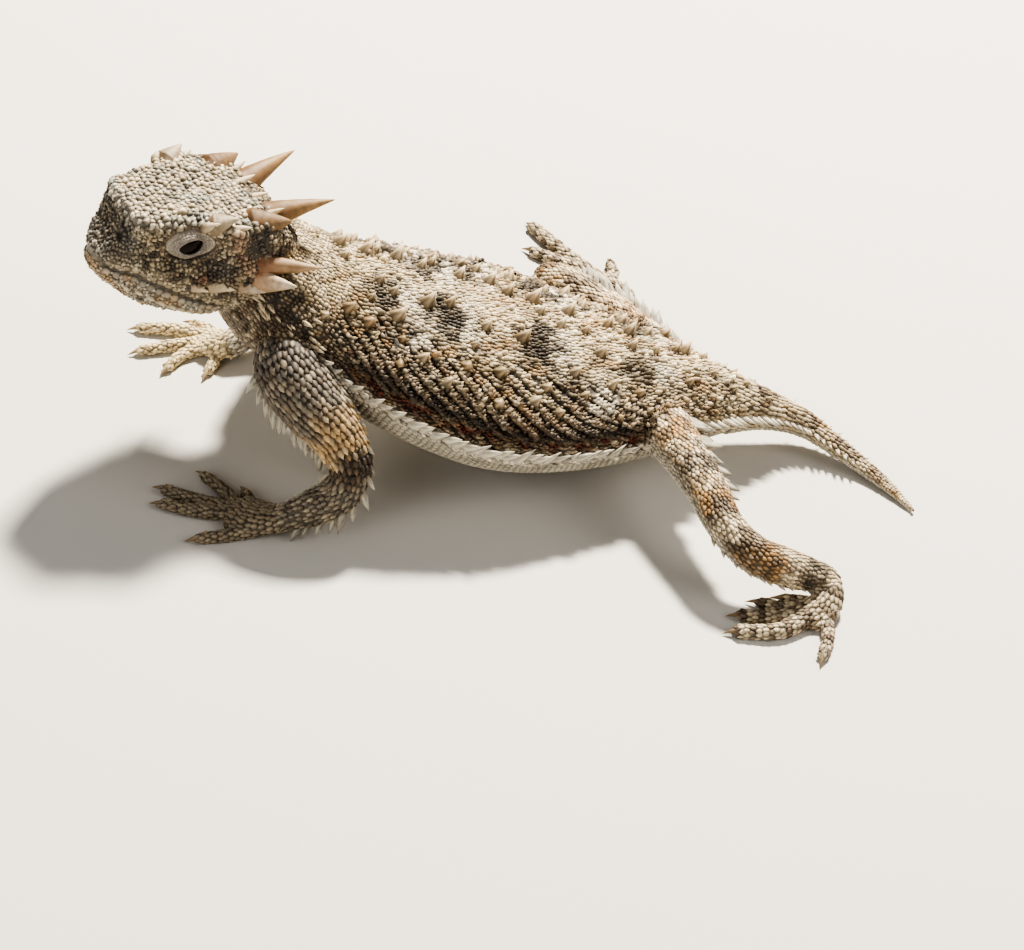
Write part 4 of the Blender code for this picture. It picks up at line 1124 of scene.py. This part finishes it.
def head_colours(local, points):
    """Markings of the head from the place in the head's own frame, and ripples.

    The crown and its pale rim come first, then the snout, painted dark as shade on its steep face, and
    the cheek. All below the crown is then darkened by up to a fifth, as painted shade on the head's
    sides; then come the spots about the eye, lips and jaw, and last the temple and what lies behind it.
    """
    forward, side, up = mirrored(local).T
    crown = ramp(up, 0.4, 0.5)
    rim = bell(line_distance(mirrored(local), CROWN_RIM, (1, 1, 1)) / 0.8)
    snout = ramp(forward, 16.2, 0.8) * ramp(up, 0.5, -0.6) * ramp(up, -6.0, 0.5)
    cheek = (1 - crown) * ramp(forward, 17.0, -1.5) * ramp(up, -9.5, 1.0)
    jaw = ramp(up, lip_height(forward), -0.6)
    colour = painted(GREY, (
        (CREAM, 0.35 + 0.6 * ripple(points, 2.2, 41)),
        (TAN, 0.35 * np.clip(ripple(points, 2.6, 46), 0, 1)),
        (OLIVE, 0.7 * np.clip(ripple(points, 5.0, 47) - 0.2, 0, 1)),
        (DARK, 0.85 * (ripple(points, 0.8, 42) > 1.15) * crown),
        (WHITE, 0.75 * rim),
        # Painted shade: the steep face of the snout is darkened towards slate.
        (SLATE, 0.72 * snout * (0.9 + 0.3 * ripple(points, 1.4, 48))),
        (WHITE, 0.8 * (bell((forward - 20.2) / 0.8) * bell((up + 4.0) / 0.9))),
        (SAND, 0.6 * cheek)))
    # Below the crown every colour is darkened by up to a fifth, as painted shade on the head's sides.
    return painted(colour * (1 - 0.20 * (1 - crown))[:, None], (
        (DARK, 0.85 * cheek * (ripple(points, 1.3, 43) > 0.38)),
        (UMBER, 0.5 * cheek * np.clip(ripple(points, 3.0, 44), 0, 1)),
        (SLATE, 0.9 * bell((forward - 7.3) / 1.9) * bell((up + 4.1) / 1.1) * (side > 5)),
        (RUST, 0.9 * bell((forward - 9.5) / 0.9) * bell((up + 5.2) / 0.45)),
        (CREAM, 0.4 * (bell((up - lip_height(forward) - 0.8) / 0.8) * (forward < 19))),
        (BELLY, 0.6 * jaw),
        (TAN, 0.7 * np.clip(jaw * ripple(points, 3.0, 45) + 0.2 * jaw, 0, 1)),
        (CLAY, 0.85 * bell(line_distance(mirrored(local), TEMPLE_RIDGE, (1, 2, 1)) / 0.9)),
        (SLATE, 1.1 * (bell((forward - 3.0) / 1.5) * bell((up + 1.6) / 1.7) * (side > 6))),
        (UMBER, 0.75 * (ramp(forward, 2.6, -1.6) * ramp(up, -1.2, -1.5)))))


def turns_at(forwards, heights):
    """Turns at which the head form comes nearest to a height, for each place forward."""
    turns = np.linspace(0.02, np.pi - 0.02, 500)
    rings = [head_local(np.full(len(turns), forward - HEAD_START), turns, HEAD_DEPTH)[:, 2]
             for forward in forwards]
    return np.array([turns[np.argmin(np.abs(ring - height))] for ring, height in zip(rings, heights)])


def off_the_face(local, eye, lip, lip_end, nostril):
    """Whether places on the head are clear of the lids' oval, the closed lips and the nostrils."""
    eye_away = np.hypot((local[:, 0] - EYE_SLIT[0]) / eye[0], (local[:, 2] - EYE_SLIT[2]) / eye[1])
    lip_away = np.abs(local[:, 2] - lip_height(local[:, 0]))
    nostril_away = np.linalg.norm(mirrored(local) - NOSTRIL, axis=1)
    return (eye_away > 1) & ((lip_away > lip) | (local[:, 0] < lip_end)) & (nostril_away > nostril)


# The lips' square plates come first, on both sides of the mouth's line, which is painted dark as
# shade in the crease.
forwards = np.arange(6.0, 19.6, 0.86)
for sign in (1, -1):
    for above, tint in ((0.60, SAND), (-0.60, BELLY)):
        along = forwards - HEAD_START
        turn = sign * turns_at(forwards, lip_height(forwards) + above)
        placing, keep = rooted("head", along, turn)
        keep = clear_of(placing[0], 0.4, keep)
        local = head_local(along, turn, HEAD_DEPTH)
        colour = varied(blend(head_colours(local, placing[0]), tint, 0.35), 0.12, 0.75)
        lay("scales_head", "plate", placing, (0.52, 0.44, 0.13), colour, patch_of("head", along, turn), keep)
    note(from_head(np.column_stack([forwards, local[:, 1], lip_height(forwards)])), DARK)

# The row of larger plates along the lower jaw, ending in the cheek horn.
forwards = np.arange(7.4, 17.5, 1.2)
for sign in (1, -1):
    along = forwards - HEAD_START
    turn = sign * turns_at(forwards, lip_height(forwards) - 2.0)
    (roots, ahead, out), keep = rooted("head", along, turn)
    keep = clear_of(roots, 0.5, keep)
    colour = blend(head_colours(head_local(along, turn, HEAD_DEPTH), roots), CREAM, 0.6)
    size = np.outer(np.linspace(1.15, 0.7, len(along)), (0.72, 0.55, 0.42))
    lay("scales_head", "keeled", (roots, -ahead, out), size, colour, patch_of("head", along, turn), keep)

# Each zone: whether it is the crown, its first place along the head, the step from scale to scale,
# the rows' distance in steps, and the scales' height. The steep snout is gone over once more.
HEAD_ZONES = ((True, 0.1, 0.76, 0.92, 0.31), (False, 0.1, 0.54, 0.92, 0.22), (True, 17.5, 0.62, 0.4, 0.22),
              (False, 17.5, 0.52, 0.35, 0.20))
for crown_zone, first, step, apart, height in HEAD_ZONES:
    along, turn = rows_on("head", first, FORMS["head"][1], step, step * apart, jitter=0.16)
    (roots, ahead, out), keep = rooted("head", along, turn)
    local = head_local(along, turn, HEAD_DEPTH)
    keep = keep & ((local[:, 2] > 0.1) == crown_zone) & off_the_face(local, (2.9, 2.1), 0.35, 7.0, 0.7)
    keep = clear_of(roots, 0.68 * step, keep)
    colour = varied(head_colours(local, roots), 0.20)
    colour = blend(colour, DARK, 0.9 * (DICE.random(len(along)) > 0.988) * crown_zone)
    temple = bell((local[:, 0] - 2.9) / 1.5) * bell((local[:, 2] + 1.9) / 1.6) * (np.abs(local[:, 1]) > 5.0)
    knobby = bell(line_distance(mirrored(local), TEMPLE_RIDGE, (1, 2, 1)) / 0.8)
    grown = DICE.normal(1.0, 0.16, len(along)) * (1 + 0.35 * knobby) * (1 - 0.5 * temple)
    size = np.column_stack([0.64 * step * grown, 0.58 * step * grown, height * grown ** 2])
    spin = DICE.uniform(0, np.pi, (len(along), 1))
    ahead = np.cos(spin) * ahead + np.sin(spin) * np.cross(out, ahead)
    lay("scales_head", "pebble", (roots, ahead, out), size, colour, patch_of("head", along, turn), keep)

# The nostrils are painted dark inside, as shade in the openings.
for sign in (1, -1):
    note(from_head(np.array(NOSTRIL) * (1, sign, 1) + 0.35 * DICE.normal(0, 1, (12, 3))), DARK)


def add_piece(name, mesh, material, nodes=()):
    """Object at the origin for a finished mesh, riding on the body and standing for CAD nodes."""
    mesh.materials.clear()
    mesh.materials.append(material)
    piece = bpy.data.objects.new(name, mesh)
    bpy.context.collection.objects.link(piece)
    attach(piece, "root")
    if nodes:
        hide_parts(*nodes)
    return piece


# The eyes and their lids.
# Dark glossy balls lie deep in the sockets. Each shows through an almond slit between two thick
# lids with rows of fine granules, higher at the rear than at the front.
EYE_RADIUS = 2.3
LID_TILT = np.radians(12.0)
LID_SLIT = (1.50, 0.92)
LID_EDGE = (3.4, 2.5)
LID_TONE = (0.30, 0.26, 0.215)
LID_THICKNESS = 0.00015
# How far from the head's middle the search for its surface starts, and the depth if none is met.
FAR_OUT, NO_HIT = 16.0, 8.5
# Rows of granules round the slit: share of the way out to the edge, half length, colour.
LID_ROWS = (
    (0.05, 0.11, (0.27, 0.235, 0.21)), (0.16, 0.13, (0.26, 0.225, 0.20)), (0.28, 0.15, (0.28, 0.24, 0.21)),
    (0.40, 0.17, (0.34, 0.30, 0.24)), (0.53, 0.19, (0.40, 0.35, 0.275)), (0.80, 0.24, (0.20, 0.15, 0.10)),
    (0.94, 0.28, (0.16, 0.115, 0.075)),
)


def closed_grid(name, rings):
    """Mesh from rings: quads between them, and the first and last ring drawn to a point each."""
    count, around = rings.shape[:2]
    inner = rings[1:-1].reshape(-1, 3)
    points = np.vstack([inner, rings[0].mean(axis=0), rings[-1].mean(axis=0)])
    quads = grid_quads(count - 2, around)[:, [0, 3, 2, 1]].tolist()
    start, after = np.arange(around), np.roll(np.arange(around), -1)
    end, first, last = (count - 3) * around, len(inner), len(inner) + 1
    fans = np.stack([np.full(around, first), start, after], axis=-1).tolist()
    fans += np.stack([np.full(around, last), end + after, end + start], axis=-1).tolist()
    mesh = bpy.data.meshes.new(name)
    mesh.from_pydata(placed(points).tolist(), [], quads + fans)
    mesh.shade_smooth()
    return mesh


def eye_mesh(name, centre):
    """Ball from turns and tilts: centre + radius times the direction."""
    tilt, turn = np.meshgrid(np.linspace(0, np.pi, 33), np.linspace(0, 2 * np.pi, 49)[:-1], indexing="ij")
    ball = np.stack([np.sin(tilt) * np.cos(turn), np.sin(tilt) * np.sin(turn), np.cos(tilt)], axis=-1)
    return closed_grid(name, centre + EYE_RADIUS * ball)


eye_gloss = bpy.data.materials.new("eye_gloss")
eye_gloss.use_nodes = True
eye_tree = eye_gloss.node_tree
eye_shader = eye_tree.nodes["Principled BSDF"]
eye_shader.inputs["Roughness"].default_value = 0.10
eye_shader.inputs["Specular IOR Level"].default_value = 0.14
eye_noise = new_node(eye_tree, "ShaderNodeTexNoise", Scale=1200.0, Detail=3.0)
eye_place = eye_tree.nodes.new("ShaderNodeTexCoord")
eye_ramp = eye_tree.nodes.new("ShaderNodeValToRGB")
eye_ramp.color_ramp.elements[0].color = (0.004, 0.003, 0.002, 1.0)
eye_ramp.color_ramp.elements[1].color = (0.012, 0.007, 0.004, 1.0)
join(eye_tree, (eye_place, "Object", eye_noise, "Vector"), (eye_noise, "Fac", eye_ramp, "Fac"),
     (eye_ramp, "Color", eye_shader, "Base Color"))


def lid_points(sign, psi, out_by):
    """Point on the lids of one side, from the turn round the slit and the way out to the edge.

    Slit and edge are ellipses in the plane of the face, higher at the rear. The lid lies on a ball a
    little larger than the eye by the slit, and passes into the skin's own surface at the edge. It is
    swollen half way, and never comes closer than a little over the ball.
    """
    long_way = LID_SLIT[0] + (LID_EDGE[0] - LID_SLIT[0]) * out_by
    high_way = LID_SLIT[1] + (LID_EDGE[1] - LID_SLIT[1]) * out_by
    pointed = 1 - 0.25 * np.clip(1 - out_by, 0, 1) * np.abs(np.cos(psi)) ** 3
    along = long_way * np.cos(psi)
    upward = high_way * np.sin(psi) * pointed
    rear = along * np.cos(LID_TILT) - upward * np.sin(LID_TILT)
    upward = along * np.sin(LID_TILT) + upward * np.cos(LID_TILT)

    def in_place(outward):
        """The point at this distance out from the head's middle plane."""
        return from_head(np.stack([EYE_SLIT[0] - rear, sign * outward, EYE_SLIT[2] + upward], axis=-1))

    swell = 0.10 + 0.16 * np.sin(np.pi * np.clip(out_by * 1.5, 0, 1))
    ball = EYE_BALL[1] + np.sqrt(np.maximum((EYE_RADIUS + swell) ** 2 - rear ** 2 - upward ** 2, 0.2))
    inward = Vector(-sign * LEFTWARD)
    starts = in_place(np.full(rear.shape, FAR_OUT)).reshape(-1, 3)
    depth = np.array([SKIN_TREE.ray_cast(Vector(start), inward)[3] or NO_HIT for start in starts])
    face = FAR_OUT - depth.reshape(rear.shape) + 0.05
    share = np.clip(out_by / 0.62, 0, 1)
    share = share * share * (3 - 2 * share)
    outward = ball * (1 - share) + face * share - 0.5 * np.clip(out_by - 0.9, 0, 1)
    outward = outward + 0.42 * np.sin(np.pi * np.clip(out_by / 0.68, 0, 1)) ** 2
    outward = outward - 0.12 * bell((out_by - 0.7) / 0.06)
    over_eye = (EYE_RADIUS + 0.08) ** 2 - rear ** 2 - upward ** 2
    over_eye = np.where(over_eye > 0, EYE_BALL[1] + np.sqrt(np.maximum(over_eye, 0)), -np.inf)
    return in_place(np.maximum(outward, over_eye))


def lids_mesh(name, sign, centre):
    """Both lids of one eye as a grid of turns and ways out, tucked in a little behind the slit."""
    ways_out = np.linspace(-0.25, 1.08, 20)
    psi, out_by = np.meshgrid(np.linspace(0, 2 * np.pi, 73)[:-1], ways_out, indexing="ij")
    lid = lid_points(sign, psi, np.maximum(out_by, 0.0))
    lid = lid + (centre - lid) * (np.minimum(out_by, 0.0)[..., None] * -1.6) * 0.5
    around, rings = lid.shape[:2]
    lid = lid.transpose(1, 0, 2).reshape(-1, 3)
    quads = grid_quads(rings, around)
    corners = lid[quads]
    faced = np.cross(corners[:, 1] - corners[:, 0], corners[:, 3] - corners[:, 0])
    if ((corners[:, 0] - centre) * faced).sum() < 0:
        quads = quads[:, ::-1]
    mesh = bpy.data.meshes.new(name)
    mesh.from_pydata(placed(lid).tolist(), [], quads.tolist())
    mesh.shade_smooth()
    out_by = np.repeat(ways_out, around)
    paint(mesh, blend(LID_TONE, DARK, 0.9 * bell(out_by / 0.05) + 0.85 * bell((out_by - 0.72) / 0.07)
                      + 0.5 * (out_by > 0.8)))
    return mesh


SIDES = (("left", 1), ("right", -1))
for side_name, sign in SIDES:
    centre = from_head(EYE_BALL * (1, sign, 1))
    add_piece(f"{side_name}_eyeball", eye_mesh(f"{side_name}_eyeball", centre), eye_gloss,
              [f"{side_name}_eye"])
    lids = add_piece(f"{side_name}_lids", lids_mesh(f"{side_name}_lids", sign, centre), HIDE)
    wall = lids.modifiers.new("thickness", "SOLIDIFY")
    wall.thickness = LID_THICKNESS
    for number, (ring, grown, tone) in enumerate(LID_ROWS):
        scales = 48 - number
        at = (np.arange(scales) + 0.5 * (number % 2) + DICE.normal(0, 0.12, scales)) * 2 * np.pi / scales
        here = lid_points(sign, at, np.full(scales, ring))
        onward = unit(lid_points(sign, at + 0.02, np.full(scales, ring)) - here)
        outer = unit(lid_points(sign, at, np.full(scales, ring + 0.03)) - here)
        out = unit(np.cross(outer, onward)) * sign
        out = out * np.sign((out * (here - centre)).sum(axis=1, keepdims=True))
        colour = varied(tone, 0.12, count=scales)
        patch = np.column_stack([0.56 + 0.04 * np.cos(at) * (1 + ring),
                                 0.5 - 0.25 * sign + 0.04 * np.sin(at) * (1 + ring)])
        size = np.outer(DICE.normal(1.0, 0.1, scales) * grown, (1.0, 0.9, 0.36))
        lay("scales_head", "granule", (here, onward, out), size, colour, patch, noted=False)

# The horns.
# Bony cores sheathed in horn: the two occipital horns point back, a short broad one and a brow
# horn lie beside each, and the temporal ones and the cheek plate edge the jaw. Orange-tan at the
# root, cream at the tip, with faint growth ridges.
HEAD_CORE = from_head(np.array([6.0, 0.0, -5.0]))
HORN_RINGS, HORN_AROUND = 34, 24
FOOT_PEBBLES = 18
# Base and tip forward-left-up, half width, half height, bow, colour of the root, colour of the tip.
HORNS = {
    "occipital_horn": ((-0.4, 3.6, -1.3), (-7.8, 5.6, 1.7), 1.8, 1.7, 0.4,
                       (0.150, 0.078, 0.032), (0.36, 0.228, 0.105)),
    "short_horn": ((2.4, 6.2, -0.5), (-1.4, 7.6, 0.8), 2.0, 2.3, 0.2,
                   (0.135, 0.074, 0.034), (0.27, 0.170, 0.086)),
    "brow_horn": ((8.0, 7.2, 1.2), (5.9, 8.3, 2.5), 1.5, 1.2, 0.1,
                  (0.24, 0.18, 0.115), (0.44, 0.36, 0.25)),
    "upper_temporal_horn": ((2.0, 8.4, -4.4), (-4.4, 11.6, -3.6), 1.3, 1.4, 0.1,
                            (0.22, 0.105, 0.052), (0.43, 0.31, 0.19)),
    "lower_temporal_horn": ((2.7, 8.7, -6.1), (-0.8, 12.5, -5.1), 1.4, 1.8, 0.0,
                            (0.31, 0.135, 0.055), (0.58, 0.50, 0.37)),
    "cheek_horn": ((5.2, 8.5, -6.6), (1.9, 10.4, -6.8), 1.1, 1.4, 0.0,
                   (0.28, 0.17, 0.09), (0.54, 0.47, 0.36)),
}


def horn_rings(base, tip, wide, high, bow):
    """Horn from its root inside the skull to its tip: a cone that thins faster towards the point.

    The root is a third of the whole, keeps its width and bends down into the head. Growth ridges
    swell the horn by a few hundredths, and shallow flutes run along it.
    """
    root = base - (tip - base) * 0.5
    ahead = unit(tip - root)
    across = unit(np.cross(UP, ahead))
    upward = np.cross(ahead, across)
    t = np.linspace(0, 1, HORN_RINGS)[:, None]
    turn = np.linspace(0, 2 * np.pi, HORN_AROUND + 1)[:-1][None, :]
    rounded = np.sqrt(1 - 0.97 * np.clip((0.12 - t) / 0.12, 0, 1) ** 2)
    thin = rounded * np.clip((1 - t) * 1.5, 0, 1) ** 0.9 + 0.012
    thin = thin * (1 + 0.03 * np.sin(t * 42) * (1 - t) + 0.04 * np.cos(7 * turn + 4 * t) * (1 - t))
    inward = unit(HEAD_CORE - base) * 1.5 * high
    middle = root + (tip - root) * t + upward * bow * np.sin(np.pi * t)
    middle = middle + inward * np.clip(1 - 3 * t, 0, 1) ** 1.4
    return (middle[:, None] + (thin * wide * np.cos(turn))[..., None] * across
            + (thin * high * np.sin(turn))[..., None] * upward)


def foot_pebbles(base, tip, wide, high):
    """Lays pebbles of the head's colours on an oval round a horn's foot, where it leaves the skin."""
    reach = tip - base
    at = np.arange(FOOT_PEBBLES) * 2 * np.pi / FOOT_PEBBLES
    across = unit(np.cross(UP, reach))
    oval = (base + 0.06 * reach + 1.1 * wide * np.cos(at)[:, None] * across
            + 1.1 * high * np.sin(at)[:, None] * np.cross(unit(reach), across))
    roots, out, away = on_skin(oval)
    onward = unit(reach - out * (out @ reach)[:, None])
    local = to_head(roots)
    colour = varied(head_colours(local, roots), 0.1, 0.95)
    patch = np.column_stack([(local[:, 0] - HEAD_START) / FORMS["head"][1],
                             (np.arctan2(local[:, 1], local[:, 2] + 5) / (2 * np.pi)) % 1])
    lay("scales_head", "pebble", (roots, onward, out), (0.46, 0.36, 0.34), colour, patch, away < 1.5, False)


for name, (base, tip, wide, high, bow, root_tint, tip_tint) in HORNS.items():
    for side_name, sign in SIDES:
        base_at, tip_at = (from_head(np.array(end) * (1, sign, 1)) for end in (base, tip))
        mesh = closed_grid(f"{side_name}_{name}_sheath", horn_rings(base_at, tip_at, wide, high, bow))
        foot_pebbles(base_at, tip_at, wide, high)
        points, reach = points_of(mesh) / MM - SHIFT, tip_at - base_at
        share = np.clip((points - base_at) @ reach / (reach @ reach), 0, 1)
        tone = blend(root_tint, tip_tint, share ** 0.8 + 0.12 * ripple(points, 1.2, 51))
        tone = tone * (1 - 0.22 * np.clip(ripple(points * (1, 1, 2), 0.7, 52), 0, 1))[:, None]
        paint(mesh, tone)
        add_piece(f"{side_name}_{name}_sheath", mesh, SCALE_HORN, [f"{side_name}_{name}"])

# Small spines of the head: on the brow's rim, behind the brow, on the crown's rear edge, and along
# the jaw before the cheek horn. Each is base, tip and half width.
SMALL_SPINES = (
    ((9.4, 7.6, 1.2), (8.2, 8.4, 2.1), 0.6), ((6.0, 7.9, 0.6), (4.2, 8.7, 1.3), 0.65),
    ((1.6, 1.6, 0.3), (-1.0, 2.0, 1.3), 0.7), ((0.6, 4.8, -0.1), (-1.4, 5.4, 1.2), 0.6),
    ((8.0, 8.4, -6.4), (5.6, 9.7, -6.5), 0.95), ((10.2, 8.0, -6.6), (8.6, 9.0, -6.8), 0.6),
    ((1.6, 8.4, -8.2), (-0.6, 10.4, -8.4), 0.8), ((0.2, 8.2, -10.0), (-1.6, 9.7, -10.6), 0.7),
)


def add_small_horn(name, rings, root_tint, tip_tint, nodes=()):
    """Piece from rings of horn, whose colour passes from the root's to the tip's; ends come last."""
    mesh = closed_grid(name, rings)
    share = np.linspace(0, 1, len(rings) - 2).repeat(rings.shape[1])
    paint(mesh, blend(root_tint, tip_tint, np.append(share, [0.0, 1.0])))
    add_piece(name, mesh, SCALE_HORN, nodes)


for number, (base, tip, wide) in enumerate(SMALL_SPINES, start=1):
    for side_name, sign in SIDES:
        ends = (from_head(np.array(end) * (1, sign, 1)) for end in (base, tip))
        rings = horn_rings(*ends, wide, wide, 0.1)[::3, ::2]
        add_small_horn(f"{side_name}_head_spine_{number}", rings, (0.26, 0.19, 0.12), CREAM)

# The claws.
# Short sharp sheaths of dark horn, one on the end of every digit, curved down.
CLAW_ROOT, CLAW_TIP = np.array([0.34, 0.26, 0.16]), np.array([0.17, 0.11, 0.06])
CLAW_LEVEL = 0.22
for limb in DIGITS:
    for number, digit in enumerate(DIGITS[limb], start=1):
        line = digit_line(digit)
        ahead_way = unit(line[2, :3] - line[1, :3]) * (1, 1, 0)
        root = line[2, :3] - ahead_way * 0.3
        tip = line[2, :3] + ahead_way * 1.6
        tip[2] = CLAW_LEVEL
        # The far hand's claws are half as bright again, as painted sunlight.
        pale = 1.0 + 0.5 * (limb == "right_arm")
        add_small_horn(f"{limb}_claw_{number}_sheath", horn_rings(root, tip, 0.36, 0.38, 0.22),
                       CLAW_ROOT * pale, CLAW_TIP * pale, [f"{limb}_claw_{number}"])

# Granules between the larger scales.
# Fine granules fill what the rows leave bare, as behind the skull, in the armpits and between the
# toes. They stand on the skin's own faces, one to a small cell, coloured as the scales about them but
# darkened to 0.8, as painted shade between the larger scales.
BARE_REACH = 0.62
CELL = 0.36
ALL_ROOTS, ALL_COLOURS = np.vstack(ROOTS), np.vstack(ROOT_COLOURS)
ROOT_TREE = KDTree(len(ALL_ROOTS))
for number, root in enumerate(ALL_ROOTS):
    ROOT_TREE.insert(root, number)
ROOT_TREE.balance()


def nearest_colour(points):
    """Mean colour of the three nearest scales, and how far away the nearest one is."""
    found = [ROOT_TREE.find_n(point, 3) for point in points]
    colour = ALL_COLOURS[[[hit[1] for hit in hits] for hits in found]].mean(axis=1)
    return np.clip(colour, 0, 1), np.array([hits[0][2] for hits in found])


middles = np.array([face.center for face in skin_mesh.polygons])
facing = np.array([face.normal for face in skin_mesh.polygons])
bare = off_the_face(to_head(middles), (3.1, 2.3), 0.45, 6.5, 0.75) & (middles[:, 2] > 0.5)
tone, away = nearest_colour(middles)
bare = np.flatnonzero(bare & (away > BARE_REACH))
bare = bare[np.unique(np.floor(middles[bare] / CELL), axis=0, return_index=True)[1]]
roots, out = middles[bare], unit(facing[bare])
ahead = unit(np.cross(out, (0.3, 0.2, 0.93)))
size = np.outer(DICE.normal(0.24, 0.03, len(bare)), (1.1, 1.0, 0.7))
low, high = skin_points.min(axis=0), skin_points.max(axis=0)
round_body = np.arctan2(roots[:, 2] - 12, roots[:, 1]) / (2 * np.pi) + 0.5
patch = np.column_stack([(roots[:, 0] - low[0]) / (high[0] - low[0]), round_body])
lay("scales_between", "granule", (roots, ahead, out), size, tone[bare] * 0.8, patch, noted=False)

# The coat and the skin are put in last, when every scale is known.
# The skin takes the colours of the three nearest scales, darkened all over and most where they are
# dark, as painted shade in the gaps between the scales.
for piece in COAT:
    add_piece(piece, coat_mesh(piece), SCALE_HORN)

skin_tone = nearest_colour(skin_points)[0]
paint(skin_mesh, skin_tone * (0.35 + 0.45 * skin_tone.mean(axis=1, keepdims=True)))
skin_mesh.vertices.foreach_set("co", placed(skin_points).ravel())
skin_mesh.shade_smooth()
FLESH = ["head", "lower_jaw", "neck", "trunk_front", "trunk_middle", "trunk_rear", "tail_root",
         "tail_middle", "tail_tip"]
FLESH += [f"{side_name}_{part}" for side_name, sign in SIDES
          for part in ("upper_arm", "forearm", "hand", "thigh", "shank", "foot")]
add_piece("hide_skin", skin_mesh, HIDE, FLESH)
